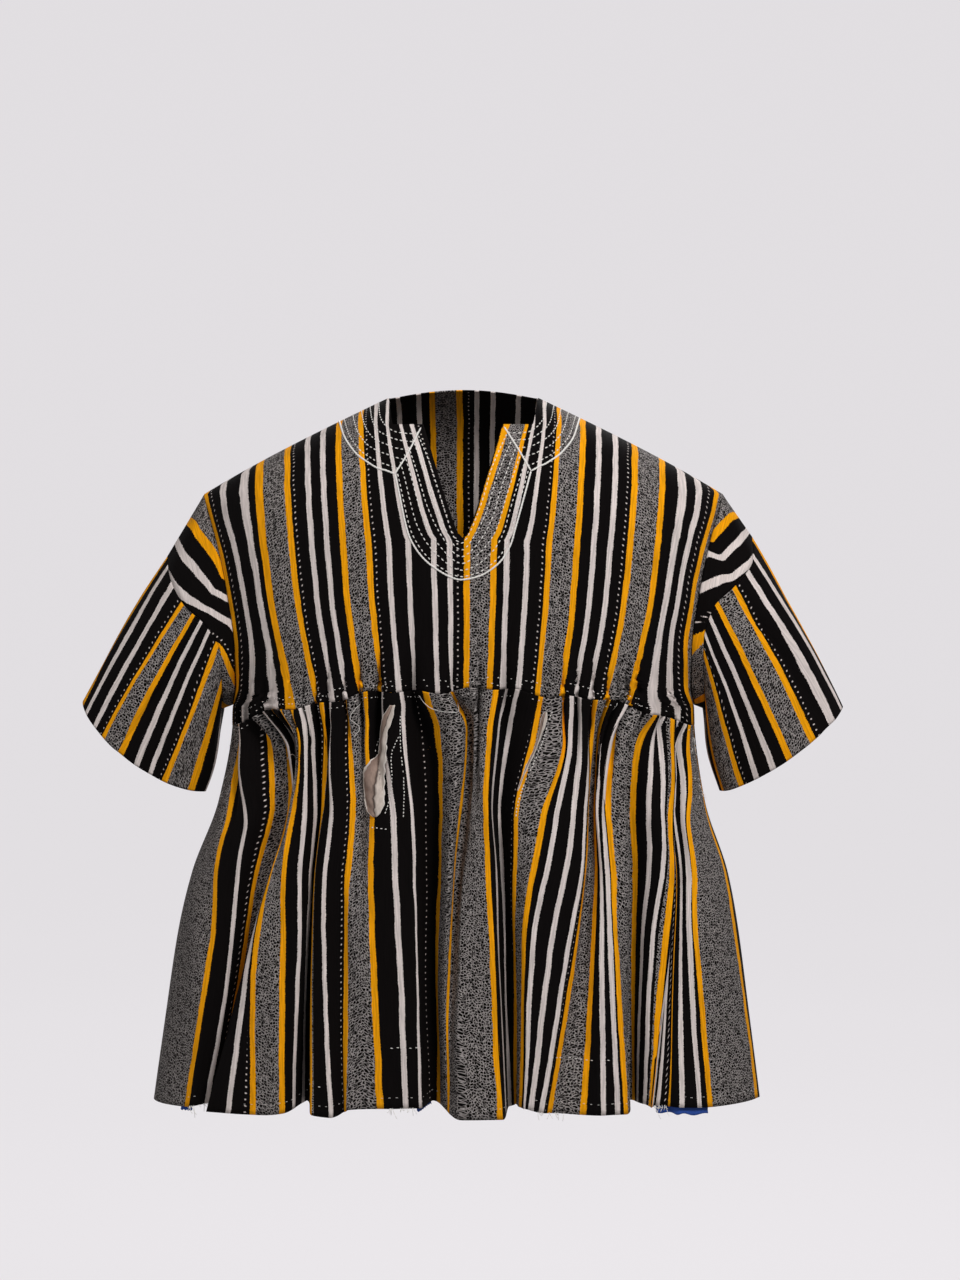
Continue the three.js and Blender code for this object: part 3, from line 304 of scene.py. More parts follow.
def smooth_curve(places, values, at):
    """Cubic pieces through the points, with harmonic-mean slopes, so that the curve never goes past them."""
    places, values, at = np.asarray(places, float), np.asarray(values, float), np.asarray(at, float)
    extra = (1,) * (values.ndim - 1)
    step = np.diff(places)
    slope = np.diff(values, axis=0) / step.reshape(-1, *extra)
    before, after = np.concatenate([slope[:1], slope]), np.concatenate([slope, slope[-1:]])
    agree = before * after > 0
    tangent = np.where(agree, 2 * before * after / np.where(agree, before + after, 1), 0)
    i = np.clip(np.searchsorted(places, at) - 1, 0, len(places) - 2)
    span = step[i].reshape(*at.shape, *extra)
    f = np.clip((at.reshape(*at.shape, *extra) - places[i].reshape(*at.shape, *extra)) / span, 0, 1)
    return ((2 * f**3 - 3 * f**2 + 1) * values[i] + (f**3 - 2 * f**2 + f) * span * tangent[i]
            + (3 * f**2 - 2 * f**3) * values[i + 1] + (f**3 - f**2) * span * tangent[i + 1])


def half_width(side, z):
    """The body's half width at height z, on the right (negative side) or the left."""
    return np.where(side < 0, smooth_curve(BODY[:, 0], BODY[:, 1], z), smooth_curve(BODY[:, 0], BODY[:, 2], z))


def half_depth(z, face):
    """The body's half depth at height z, in front or at the back."""
    return smooth_curve(BODY[:, 0], BODY[:, 3 if face == "front" else 4], z)


def ridge_z(x, face):
    """Height of the shoulder ridge: a slope that rounds off at the tip, and at the back a rise behind the neck."""
    out = np.maximum((np.abs(x) - NECK_SIDE_X) / (SHOULDER_TIP_X - NECK_SIDE_X), 0)
    rise = 0 if face == "front" else NECK_BACK_RISE * np.maximum(1 - (x / NECK_SIDE_X) ** 2, 0)
    return NECK_SIDE_Z - (NECK_SIDE_Z - SHOULDER_TIP_Z) * ((1 - RIDGE_CURVE) * out + RIDGE_CURVE * out**3) + rise


def shoulder_round(x):
    """Radius of the shoulder's quarter circle, which grows smaller from the neck to the tip."""
    along = np.clip((np.abs(x) - NECK_SIDE_X) / (SHOULDER_TIP_X - NECK_SIDE_X), 0, 1)
    return ROUND_AT_NECK + (ROUND_AT_TIP - ROUND_AT_NECK) * along


def stand_out(x, z, face):
    """Distance from the XZ plane: a quarter ellipse under the ridge times the superellipse of the body."""
    under = np.clip((ridge_z(x, face) - z) / shoulder_round(x), 0, 1)
    across = np.minimum(np.abs(x) / half_width(x, z), 1)
    return half_depth(z, face) * (1 - across**ROUNDNESS) ** (1 / ROUNDNESS) * np.sqrt(1 - (1 - under) ** 2)


def seam_z(x):
    """Height of the gathered seam: level in the middle, lower towards both sides."""
    return CENTRE_SEAM_Z + (SIDE_SEAM_Z - CENTRE_SEAM_Z) * (np.abs(x) / SIDE_SEAM_X) ** SEAM_CURVE


# Soft creases of the yoke: ends (x, z), half width, and depth (negative is a ridge)
YOKE_CREASES = {
    "front": (
        (-236, -120, -214, -300, 9, 1.8), (-196, -110, -190, -290, 12, -1.3), (-150, -90, -158, -310, 13, 1.2),
        (-118, -200, -112, -318, 8, -1.5), (-84, -180, -86, -318, 8, 1.3), (-40, -210, -46, -306, 9, 1.2),
        (22, -190, 12, -306, 9, -1.3), (66, -170, 60, -312, 9, 1.3), (104, -120, 96, -316, 11, -1.2),
        (150, -90, 146, -312, 12, 1.3), (192, -110, 186, -300, 11, -1.4), (232, -120, 216, -306, 9, 1.8),
        (-120, -40, -40, -150, 22, 0.9), (120, -40, 44, -150, 22, 0.9)),
    "back": (
        (-232, -120, -214, -306, 10, 1.8), (-182, -100, -178, -306, 13, -1.4), (-120, -160, -124, -312, 10, 1.4),
        (-60, -120, -64, -308, 12, -1.2), (0, -60, 4, -304, 14, 1.1), (62, -140, 58, -308, 11, -1.3),
        (118, -110, 122, -312, 11, 1.3), (184, -100, 176, -306, 12, -1.3), (234, -120, 216, -306, 10, 1.7)),
}


def creases(x, z, table):
    """Sum of soft troughs: a bell across each line, faded at both ends."""
    depth = np.zeros(np.broadcast(x, z).shape)
    for x0, z0, x1, z1, width, deep in table:
        length = math.hypot(x1 - x0, z1 - z0)
        along = ((x - x0) * (x1 - x0) + (z - z0) * (z1 - z0)) / length
        across = ((x - x0) * (z1 - z0) - (z - z0) * (x1 - x0)) / length
        share = np.clip(along / length, 0, 1)
        past = np.clip(np.abs(along - length / 2) - length / 2, 0, None)
        ends = np.sin(np.pi * share) ** 0.6 * np.exp(-(past / 12) ** 2)
        depth += deep * np.exp(-((across / width) ** 2)) * ends
    return depth


@functools.lru_cache
def seam_line(face):
    """Along the gathered seam: places x, how far the skirt's top edge lies inside the body there, and its slope."""
    cloth = np.linspace(0, SKIRT_WIDTH, 1200)
    edge = (skirt_front if face == "front" else skirt_back)(cloth, np.array([0.0]))[:, 0]
    inside = SEAM_GAP / 2 + stand_out(edge[:, 0], edge[:, 2], face) - np.abs(edge[:, 1])
    order = np.argsort(edge[:, 0])
    x = np.linspace(edge[:, 0].min(), edge[:, 0].max(), 700)
    inside = np.interp(x, edge[order, 0], inside[order])
    return x, inside, np.gradient(inside, x)


def yoke_surface(x, z, face):
    """A point of the yoke's outer face at x and z, in mm, with its creases. Its lower edge follows the skirt's
    gathers, which draw the cloth aside and in, and die out over a few centimetres above the seam."""
    place, inside, slope = seam_line(face)
    near = np.exp(-((np.clip(z - seam_z(x), 0, None) / 30) ** 1.3))
    x = x + np.clip(np.interp(x, place, slope) * 1.4, -3.0, 3.0) * near * np.clip((240 - np.abs(x)) / 30, 0, 1)
    above = np.clip(z - seam_z(x), 0, None)
    fade = np.clip((ridge_z(x, face) - z) / 25, 0, 1) * np.clip((264 - np.abs(x)) / 30, 0, 1)
    dents = creases(x, z, YOKE_CREASES[face]) * fade * np.clip(above / 22, 0, 1)
    out = SEAM_GAP / 2 + stand_out(x, z, face) - dents - np.interp(x, place, inside) * near
    return np.stack([x, -out if face == "front" else out, z + seam_wave(x) * near], -1)


def face_point(x, way):
    """A point of the yoke at x and a way down from the shoulder ridge in mm: round the shoulder's quarter circle
    and then straight down. The way is positive in front and negative at the back."""
    size, points = shoulder_round(x), []
    for face, part in (("front", np.maximum(way, 0)), ("back", np.maximum(-way, 0))):
        turn = np.minimum(part / size, np.pi / 2)
        points.append(yoke_surface(x, ridge_z(x, face) - size * (1 - np.cos(turn)) - (part - size * turn), face))
    return np.where((way > 0)[..., None], *points)


def way_down(x, z, face="front"):
    """The way from the ridge down to height z, signed by the face."""
    under = (ridge_z(x, face) - z) / shoulder_round(x)
    way = shoulder_round(x) * (np.arccos(1 - np.clip(under, 0, 1)) + np.maximum(under - 1, 0))
    return way if face == "front" else -way


def on_yoke(x, way):
    """Points of the yoke with the directions out of it, side by side, from small steps both ways."""
    step = 0.4
    out = np.cross(face_point(x, way + step) - face_point(x, way - step),
                   face_point(x + step, way) - face_point(x - step, way))
    return np.concatenate([face_point(x, way), unit(out)], -1)


def thread_x(m, z, face):
    """Place of thread line m at height z: it fans out upwards, and in front the slit spreads it."""
    up = np.clip((z - SLIT_BOTTOM_Z) / (NECK_FRONT_Z - SLIT_BOTTOM_Z), 0, 1)
    spread = SLIT_SPREAD * np.exp(-((m / SLIT_REACH) ** 2)) if face == "front" else 0
    return m * smooth_curve(FAN[:, 0], FAN[:, 1], z) + spread * (0.75 * up + 0.25 * up**0.35)


def top_z(x, m, face):
    """Upper end of a thread line: on the shoulder ridge, then round the neck's side to its front or back."""
    if face == "front":
        past = np.clip((NECK_SIDE_THREAD - m) / (NECK_SIDE_THREAD - NECK_CORNER_THREAD), 0, 1)
        under = (NECK_SIDE_Z - NECK_FRONT_Z) / ROUND_AT_NECK
        share = math.sqrt(1 - (1 - under) ** 2) * np.sin(past * np.pi / 2)
    else:
        share = BACK_NECK_SHARE * np.sqrt(np.maximum(1 - (x / NECK_SIDE_X) ** 2, 0))
    return ridge_z(x, face) - shoulder_round(x) * (1 - np.sqrt(1 - share**2))


def yoke_half(m, side, face, down):
    """One half of the yoke: thread lines m (columns) by shares of the way down (rows)."""
    m, down = m[:, None], down[None, :]
    inner = np.minimum(m, YOKE_BEND)
    bend = (m - inner) / (YOKE_EDGE - YOKE_BEND)

    def x_at(z):
        """How far out the columns are at height z: round the side by equal turns past the bend."""
        width = half_width(side, z)
        start = np.arcsin(np.minimum(thread_x(inner, z, face) / width, 1) ** (ROUNDNESS / 2))
        end = np.arcsin(np.minimum(smooth_curve(ARMHOLE[:, 0], ARMHOLE[:, 1], z) / width, 1) ** (ROUNDNESS / 2))
        turned = width * np.sin(start + (end - start) * bend) ** (2 / ROUNDNESS)
        return np.where(bend > 0, turned, thread_x(inner, z, face))

    top_x = inner
    for _ in range(8):
        top_x = thread_x(inner, top_z(top_x, m, face), face)
    top_x = top_x + (SHOULDER_TIP_X - top_x) * bend
    bottom = np.full(m.shape, float(CENTRE_SEAM_Z))
    for _ in range(8):
        bottom = seam_z(x_at(bottom))
    top = top_z(top_x, m, face)
    z = top + (bottom - top) * down ** (1 + 0.06 * np.exp(-((m / SLIT_REACH) ** 2)))
    x = top_x + (x_at(z) - top_x) * np.clip(down / 0.022, 0, 1)
    return side * x, z


def skirt_point(turn, z, depth, face):
    """A point on the body's line at a turn in degrees, moved in by a depth."""
    angle = np.radians(np.abs(turn))
    x0, y0 = np.sin(angle) ** (2 / ROUNDNESS), np.cos(angle).clip(0) ** (2 / ROUNDNESS)
    width, thick = half_width(turn, z), half_depth(z, face)
    nx, ny = x0 ** (ROUNDNESS - 1) / width, y0 ** (ROUNDNESS - 1) / thick
    size = np.hypot(nx, ny)
    x = np.where(turn < 0, -1, 1) * (width * x0 - depth * nx / size)
    out = SEAM_GAP / 2 + np.maximum(thick * y0 - depth * ny / size, 0)
    return np.stack([x, -out if face == "front" else out, z + 0 * x], -1)


def hanging(turn, depth, height, hem, face):
    """The skirt's cloth at a turn and depth hangs from the seam above that place."""
    top = skirt_point(turn, np.full(turn.shape, float(CENTRE_SEAM_Z)), depth, face)[..., 0]
    for _ in range(5):
        z = seam_z(top) - SEAM_GAP
        top = skirt_point(turn, z, depth, face)[..., 0]
    return skirt_point(turn, z + (hem - z) * height, depth, face)


def gathers(cloth, height):
    """Gathers: small waves at the seam that die out below it and at both side seams."""
    fade = np.maximum(1 - height / GATHER_FADE, 0) ** 1.5
    ends = np.clip(np.minimum(cloth, SKIRT_WIDTH - cloth) / GATHER_PITCH, 0, 1)
    wave = np.sin(2 * np.pi * cloth / GATHER_PITCH + 0.9 * np.sin(cloth / 47))
    return GATHER_DEPTH * fade * ends * (0.8 + 0.5 * wave)


def seam_wave(x):
    """How far the gathered seam wavers up and down: two waves of about 12 cm and 5 cm."""
    return 2.3 * np.sin(x / 19) + 1.7 * np.sin(x / 8.3 + 1)


def pinches(cloth, height):
    """Pleats at the gathered seam, at an uneven pitch of about 21 mm of the seam: how deep each place lies (the
    square of a raised cosine) and how far the cloth is drawn aside into the valley (a sine). Both are strongest
    just below the seam and gone three tenths of the way down."""
    phase = 2 * np.pi * (cloth / PINCH_PITCH + 0.3 * np.sin(cloth / 61) + 0.15 * np.sin(cloth / 23))
    fade = np.interp(height, PINCH_HEIGHTS, PINCH_STRENGTHS)
    fade = fade * np.clip(np.minimum(cloth, SKIRT_WIDTH - cloth) / 60, 0, 1)
    uneven = 1 + 0.35 * np.sin(cloth / 71 + 1) + 0.25 * np.sin(cloth / 23)
    return PINCH_DEPTH * uneven * (0.5 + 0.5 * np.cos(phase)) ** 2 * fade, -PINCH_PULL * np.sin(phase) * fade


def pinched(turn, cloth, pull):
    """Turns of the cloth after each place is drawn aside along it."""
    return turn + np.gradient(turn, cloth[:, 0], axis=0) * pull


def table_surface(table, heights, cloth, height):
    """Turn and depth of a fold table at places along the cloth (columns) and heights (rows)."""
    count = len(heights)
    levels = [smooth_curve(table[:, 0], table[:, 1 + k], cloth) for k in range(2 * count)]
    turn = smooth_curve(heights, np.stack(levels[:count]), height).T
    depth = smooth_curve(heights, np.stack(levels[count:]), height).T
    return turn, depth


def skirt_front(cloth, height):
    """The skirt's front from its table of folds, with gathers and pleats at the seam."""
    turn, depth = table_surface(FRONT_FOLDS, SKIRT_HEIGHTS, cloth, height)
    hem = HEM_Z - smooth_curve(FRONT_FOLDS[:, 0], FRONT_FOLDS[:, -1], cloth)[:, None]
    cloth, height = cloth[:, None], height[None, :]
    deep, pull = pinches(cloth, height)
    depth = depth * FOLD_GAIN + gathers(cloth, height) + deep
    point = hanging(pinched(turn, cloth, pull), depth, height, hem, "front")
    point[..., 2] += seam_wave(point[..., 0]) * np.exp(-height * WAVE_FADE)
    return point


def skirt_back(cloth, height):
    """A crest at the edges of each fold and a valley in its middle."""
    starts = np.concatenate([[0], np.cumsum(BACK_FOLDS[:, 0])])
    fold = np.clip(np.searchsorted(starts, cloth, side="right") - 1, 0, len(BACK_FOLDS) - 1)
    phase = ((cloth - starts[fold]) / BACK_FOLDS[fold, 0] * 2 * np.pi)[:, None]
    valley = (0.5 - 0.5 * np.cos(phase)) ** 1.4
    mid, low = BACK_FOLDS[:, 1], BACK_FOLDS[:, 2]
    grow = smooth_curve([0, 0.12, 0.55, 1], np.stack([0 * mid, 0.45 * mid, mid, low]), height).T[fold]
    over = -1.6 * np.sin(phase) * smooth_curve([0, 0.15, 1], [0, 0.7, 1], height)[None, :]
    cloth, height = cloth[:, None], height[None, :]
    ends = np.clip(np.minimum(cloth, SKIRT_WIDTH - cloth) / 260, 0, 1)
    turn = -90 + 180 * cloth / SKIRT_WIDTH + (over + BACK_FOLDS[fold, 3][:, None] * valley * height) * ends
    deep, pull = pinches(cloth, height)
    depth = valley * grow * FOLD_GAIN * (0.4 + 0.6 * ends) + gathers(cloth, height) + deep
    point = hanging(np.clip(pinched(turn, cloth, pull), -90, 90), depth, height, HEM_Z - 4 * np.cos(phase), "back")
    point[..., 2] += seam_wave(point[..., 0]) * np.exp(-height * WAVE_FADE)
    return point


def armhole_ring(sign, around):
    """The armhole's edge round the sleeve."""
    front = around <= 180
    angle = np.where(front, around, 360 - around)
    z = SHOULDER_TIP_Z + (ARMHOLE_BOTTOM_Z - SHOULDER_TIP_Z) * (1 - np.cos(np.radians(angle))) / 2
    x = sign * smooth_curve(ARMHOLE[:, 0], ARMHOLE[:, 1], z)
    out = np.where(front, -stand_out(x, z, "front"), stand_out(x, z, "back"))
    return np.stack([x, out, z], -1)


def seam_ring(sign, around):
    """The seam between band and flare round the sleeve, from its table, the back like the front."""
    table = SLEEVE_SEAM[sign]
    point = smooth_curve(table[:, 0], table[:, 1:], np.where(around <= 180, around, 360 - around))
    return point * np.stack([sign + 0 * around, np.where(around <= 180, -1, 1), 1 + 0 * around], -1)


def cuff_ring(sign, around):
    """The cuff: a flattened ring whose middle hangs further out than its ends."""
    top_x, top_height, under_x, under_height, deep, bulge = CUFF[sign]
    along = (1 + np.cos(np.radians(around))) / 2
    across = np.sin(np.radians(around))
    length = math.hypot(top_x - under_x, top_height - under_height)
    hang = bulge * np.abs(across) ** 1.5
    x = under_x + (top_x - under_x) * along + hang * (top_height - under_height) / length
    z = under_height + (top_height - under_height) * along - hang * (top_x - under_x) / length
    return np.stack([sign * x, -deep * np.sign(across) * np.abs(across) ** 0.85, z], -1)


def flare_point(sign, around, down):
    """The flare between seam and cuff: it leaves the seam along a rounded line."""
    point = seam_ring(sign, around) * (1 - down[..., None]) + cuff_ring(sign, around) * down[..., None]
    arch = np.sin(np.pi * down)
    point[..., 0] += sign * 5 * arch * np.cos(np.radians(around))
    point[..., 1] *= 1 + 0.06 * arch
    return point


def sleeve_creases(around, down, sign):
    """Soft diagonal drags down the flare: three waves that run round and down together."""
    swell = np.sin(np.pi * np.clip(down, 0, 1)) * 0.6 + 0.4 * down
    first = np.sin(np.radians(3 * around) + 2.4 * down + sign)
    second = np.sin(np.radians(7 * around) - 3.1 * down + 2 * sign)
    third = np.sin(np.radians(13 * around) + 1.7 * down)
    return swell * (1.6 * first + 1.0 * second + 0.5 * third)


def flare(sign, cloth, down):
    """Turn and depth from the pleats' table, then the soft drags; also gives the turn at each point."""
    around, depth = table_surface(SLEEVE_PLEATS[sign], np.array([0, 0.5, 1]), cloth, down)
    rows = np.broadcast_to(down[None, :], around.shape)
    point = flare_point(sign, around, rows)
    middle = (flare_point(sign, 0 * around, rows) + flare_point(sign, 0 * around + 180, rows)) / 2
    inward = middle - point
    inward /= np.linalg.norm(inward, axis=-1, keepdims=True)
    depth = depth * np.minimum(1, rows * 4) + (sleeve_creases(around, rows, sign) + 1.8) * np.minimum(1, rows * 3)
    return point + inward * depth[..., None], around


def band(sign, around, down):
    """Straight lines from just outside the armhole's edge to just inside the flare's seam."""
    start, end = armhole_ring(sign, around)[:, None], seam_ring(sign, around)[:, None]
    length = np.linalg.norm(end - start, axis=-1, keepdims=True)
    first, last = SEAM_GAP * 2 / length, 1 - SEAM_GAP * 1.5 / length
    return start + (end - start) * (first + (last - first) * down[None, :, None])


def unit(vectors):
    """Vectors at length one."""
    return vectors / np.maximum(np.linalg.norm(vectors, axis=-1, keepdims=True), 1e-9)


def spline(points, count):
    """Catmull-Rom curve: each piece's end slopes are half the step between that point's neighbours."""
    points = np.asarray(points, float)
    ends = np.concatenate([2 * points[:1] - points[1:2], points, 2 * points[-1:] - points[-2:-1]])
    at = np.linspace(0, len(points) - 1, count)
    i = np.minimum(at.astype(int), len(points) - 2)
    f = (at - i)[:, None]
    a, b, c, d = ends[i], ends[i + 1], ends[i + 2], ends[i + 3]
    return b + 0.5 * f * (c - a + f * (2 * a - 5 * b + 4 * c - d + f * (3 * (b - c) + d - a)))


def evenly(path, pitch=None, count=None):
    """Points at an even pitch along a path whose first three columns, or both, are its place."""
    step = np.linalg.norm(np.diff(path[:, :3], axis=0), axis=1)
    place = np.concatenate([[0], np.cumsum(step)])
    count = count or max(int(place[-1] / pitch), 2)
    at = np.linspace(0, place[-1], count)
    return np.stack([np.interp(at, place, path[:, k]) for k in range(path.shape[1])], -1)


def normals(grid):
    """Outward directions of a grid: down the rows crossed with along the columns."""
    return unit(np.cross(np.gradient(grid, axis=1), np.gradient(grid, axis=0)))


def ripple(cloth, along, seed):
    """Small unevenness of hand-woven cloth: waves of a few centimetres with phases drawn from the seed."""
    rng = np.random.default_rng(seed)
    total = 0
    for wave in (90, 62, 41, 29):
        turn = rng.uniform(-0.5, 0.5)
        phase = rng.uniform(0, 2 * np.pi)
        place = cloth * math.cos(turn) + along * math.sin(turn) * 0.45
        total = total + (wave / 90) ** 0.7 * np.sin(2 * np.pi * place / wave + phase + 0.8 * np.sin(along / 57 + phase))
    return total / 2


# ---------------------------------------------------------------- meshes

def strip_knots(way, stripes, stretch):
    """Places on the cloth against places in the repeat: both edges of each stripe with a margin, in order, and
    the repeat runs on at its own width past the last stripe at either end."""
    knots, last = [], -math.inf
    for stripe in stripes.split():
        low, high = STRIPE_EDGES[stripe[0]]
        middle = float(stripe[1:])
        half = (high - low) / 2 * stretch(middle)
        low, high = (low, high) if way > 0 else (-high, -low)
        turns = max(math.ceil((last - low) / STRIP), 0) if knots else 0
        low, high = low + turns * STRIP, high + turns * STRIP
        margin = half / (high - low) * 2 * STRIPE_MARGIN
        knots += [(middle - half - margin, low - STRIPE_MARGIN), (middle - half, low), (middle + half, high),
                  (middle + half + margin, high + STRIPE_MARGIN)]
        last = high
    knots = [(knots[0][0] - 8, knots[0][1] - 8), *knots, (knots[-1][0] + 8, knots[-1][1] + 8)]
    knots = np.array(knots)
    knots[:, 0] = np.maximum.accumulate(knots[:, 0])
    return knots * (1, way)


def strip_places(strips, cloth, stretch=lambda place: 1.0):
    """Places in the repeat at the left and right edge of each column of faces, within the strip it lies in."""
    middle = (cloth[:-1] + cloth[1:]) / 2
    left, right = np.zeros_like(middle), np.zeros_like(middle)
    for start, end, way, stripes in strips:
        knots = strip_knots(way, stripes, stretch)
        inside = (middle >= start) & (middle <= end)
        left = np.where(inside, np.interp(cloth[:-1], knots[:, 0], knots[:, 1]), left)
        right = np.where(inside, np.interp(cloth[1:], knots[:, 0], knots[:, 1]), right)
    return left, right


def grid_faces(columns, rows, start=0, closed=False):
    """Quads of a grid, seen from outside: left top, left bottom, right bottom, right top."""
    i, j = np.meshgrid(np.arange(columns if closed else columns - 1), np.arange(rows - 1), indexing="ij")
    k = (i + 1) % columns
    return np.stack([i * rows + j, i * rows + j + 1, k * rows + j + 1, k * rows + j], -1).reshape(-1, 4) + start


def corners(left, right, rows):
    """Values on the four corners of each quad from its values on the left and right edge at each row."""
    left, right = np.broadcast_to(left, (len(left), rows)), np.broadcast_to(right, (len(right), rows))
    return np.stack([left[:, :-1], left[:, 1:], right[:, 1:], right[:, :-1]], -1).reshape(-1)


def new_piece(name, points, faces, uvs, material):
    """A mesh object in metres at the origin, from points in mm; vertices that no face uses are dropped."""
    used, faces = np.unique(faces, return_inverse=True)
    faces = faces.reshape(-1, 4) if faces.ndim == 1 else faces
    mesh = bpy.data.meshes.new(name)
    mesh.from_pydata((points.reshape(-1, 3)[used] / 1000).tolist(), [], faces.tolist())
    for layer, u, v in uvs:
        mesh.uv_layers.new(name=layer).uv.foreach_set("vector", np.stack([u, v], -1).astype(np.float32).ravel())
    mesh.shade_smooth()
    mesh.materials.append(material)
    obj = bpy.data.objects.new(name, mesh)
    bpy.context.scene.collection.objects.link(obj)
    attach(obj, "root")
    return obj


def thicken(obj, thickness):
    """Gives the cloth its thickness, inwards from its outer face."""
    wall = obj.modifiers.new("cloth", "SOLIDIFY")
    wall.thickness = thickness
    wall.offset = -1
    wall.use_rim = True


def length_down(grid):
    """Distance along each column from its first row."""
    step = np.linalg.norm(np.diff(grid, axis=1), axis=-1)
    return np.concatenate([np.zeros((len(grid), 1)), np.cumsum(step, 1)], 1)


def round_length(ring):
    """Distance round a closed ring at each of its points, and once more back at the first."""
    step = np.linalg.norm(np.diff(np.concatenate([ring, ring[:1]]), axis=0), axis=1)
    return np.concatenate([[0], np.cumsum(step)])


def panel_piece(name, grid, cloth, strips, node, material, thickness):
    """An open panel: columns at places along the cloth, and the stripes from the strips. The stripes keep their
    width where the columns lie closer together or further apart than their places say."""
    columns, rows = grid.shape[:2]
    along = length_down(grid)
    step = np.linalg.norm(np.diff(grid, axis=0), axis=-1)
    arc = np.concatenate([np.zeros((1, rows)), np.cumsum(step, 0)])
    place = np.arange(columns)
    before, after = np.maximum(place - 3, 0), np.minimum(place + 3, columns - 1)
    rate = np.clip((cloth[after] - cloth[before])[:, None] / np.maximum(arc[after] - arc[before], 1e-6), 0.6, 2.2)
    edges = [strip_places(strips, cloth, lambda at: np.interp(at, cloth, rate[:, row])) for row in range(rows)]
    left, right = (np.stack(part, 1) for part in zip(*edges))
    real = arc[:, int(rows * 0.7)]
    v = corners(along[:-1], along[1:], rows)
    uvs = [("cloth", corners(real[:-1, None], real[1:, None], rows), v),
           ("strip", corners(left, right, rows), v)]
    obj = new_piece(name, grid, grid_faces(columns, rows), uvs, material)
    thicken(obj, thickness)
    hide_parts(node)
    return obj


def tube_piece(name, grid, cloth, places, node, material, thickness, sign, crossways=False):
    """A closed ring of columns. cloth and places have one column more than the grid, for the closing face.
    The stripes run along the columns, or round them where crossways is true."""
    columns, rows = grid.shape[:2]
    along = length_down(grid)
    along = np.concatenate([along, along[:1]])
    cloth = np.broadcast_to(cloth[:, None], along.shape)
    u, v = corners(cloth[:-1], cloth[1:], rows), corners(along[:-1], along[1:], rows)
    p = corners(places[:-1], places[1:], rows)
    uvs = [("cloth", v, u), ("strip", p, u)] if crossways else [("cloth", u, v), ("strip", p, v)]
    faces = grid_faces(columns, rows, closed=True)
    if sign > 0:
        faces = faces[:, ::-1]
        uvs = [(layer, a.reshape(-1, 4)[:, ::-1].ravel(), b.reshape(-1, 4)[:, ::-1].ravel()) for layer, a, b in uvs]
    obj = new_piece(name, grid, faces, uvs, material)
    thicken(obj, thickness)
    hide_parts(node)
    return obj


def sample(grid, column, row):
    """Points and outward directions between the grid's own, by weighting the four corners."""
    i = np.clip(np.floor(column).astype(int), 0, grid.shape[0] - 2)
    j = np.clip(np.floor(row).astype(int), 0, grid.shape[1] - 2)
    f, g = (column - i)[:, None], (row - j)[:, None]
    a, b, c, d = grid[i, j], grid[i, j + 1], grid[i + 1, j + 1], grid[i + 1, j]
    point = (a * (1 - f) + d * f) * (1 - g) + (b * (1 - f) + c * f) * g
    return point, unit(np.cross(b - a, d - a))


RING = np.radians(np.arange(6) * 60 + 30)
# Along a stitch: places as shares of its length, and widths as shares of its thickness
STITCH_PLACES = np.array([-0.5, -0.34, 0, 0.34, 0.5])
STITCH_WIDTHS = np.array([0.25, 0.85, 1, 0.85, 0.25])


def strands(name, paths, outward, radius, material, flat=1.0):
    """Threads in one mesh: a six-sided profile carried along each path, closed at both ends. flat is the
    profile's height over its width."""
    count, steps = paths.shape[:2]
    along = unit(np.gradient(paths, axis=1))
    side = unit(np.cross(along, outward))
    up = np.cross(side, along) * flat
    ring = np.cos(RING)[:, None] * side[:, :, None] + np.sin(RING)[:, None] * up[:, :, None]
    points = paths[:, :, None] + ring * np.broadcast_to(radius, (count, steps))[:, :, None, None]
    i, j = np.meshgrid(np.arange(steps - 1), np.arange(6), indexing="ij")
    k = (j + 1) % 6
    quads = np.stack([i * 6 + j, (i + 1) * 6 + j, (i + 1) * 6 + k, i * 6 + k], -1).reshape(-1, 4)
    end = steps * 6 - 6
    caps = np.array([(0, 1, 2, 3), (0, 3, 4, 5), (end, end + 3, end + 2, end + 1), (end, end + 5, end + 4, end + 3)])
    faces = (np.concatenate([quads, caps])[None] + (np.arange(count) * steps * 6)[:, None, None]).reshape(-1, 4)
    obj = new_piece(name, points, faces, (), material)
    return obj


def running_stitches(name, lines, pitch, length, width, keep=1.0, stray=0.0, seed=5):
    """Stitches along lines of points with outward directions: one bead at each pitch, a share of them kept, each
    strayed by up to the given distance, and a little uneven in length."""
    rng = np.random.default_rng(seed)
    spots, ways = [], []
    for line in lines:
        line = evenly(line, pitch)
        spots.append(line)
        ways.append(unit(np.gradient(line[:, :3], axis=0)))
    spots, ways = np.concatenate(spots), np.concatenate(ways)
    kept = rng.random(len(spots)) < keep
    spots, ways = spots[kept], ways[kept]
    side = np.cross(ways, spots[:, 3:])
    centre = spots[:, :3] + spots[:, 3:] * width * 0.2 + side * rng.uniform(-stray, stray, (len(spots), 1))
    ways = unit(ways + side * rng.uniform(-0.12, 0.12, (len(spots), 1)))
    reach = length * rng.uniform(0.85, 1.15, (len(spots), 1, 1)) * STITCH_PLACES[None, :, None]
    paths = centre[:, None] + reach * ways[:, None]
    outward = np.broadcast_to(spots[:, None, 3:], paths.shape)
    return strands(name, paths, outward, STITCH_WIDTHS * width / 2, thread_cotton(), 0.75)


# ---------------------------------------------------------------- materials

def add(tree, kind, links=None, **settings):
    """Adds one node: settings by attribute name, links by input name or number with a value or a socket."""
    node = tree.nodes.new(kind)
    for key, value in settings.items():
        setattr(node, key, value)
    for key, value in (links or {}).items():
        if isinstance(value, bpy.types.NodeSocket):
            tree.links.new(value, node.inputs[key])
        else:
            node.inputs[key].default_value = value
    return node


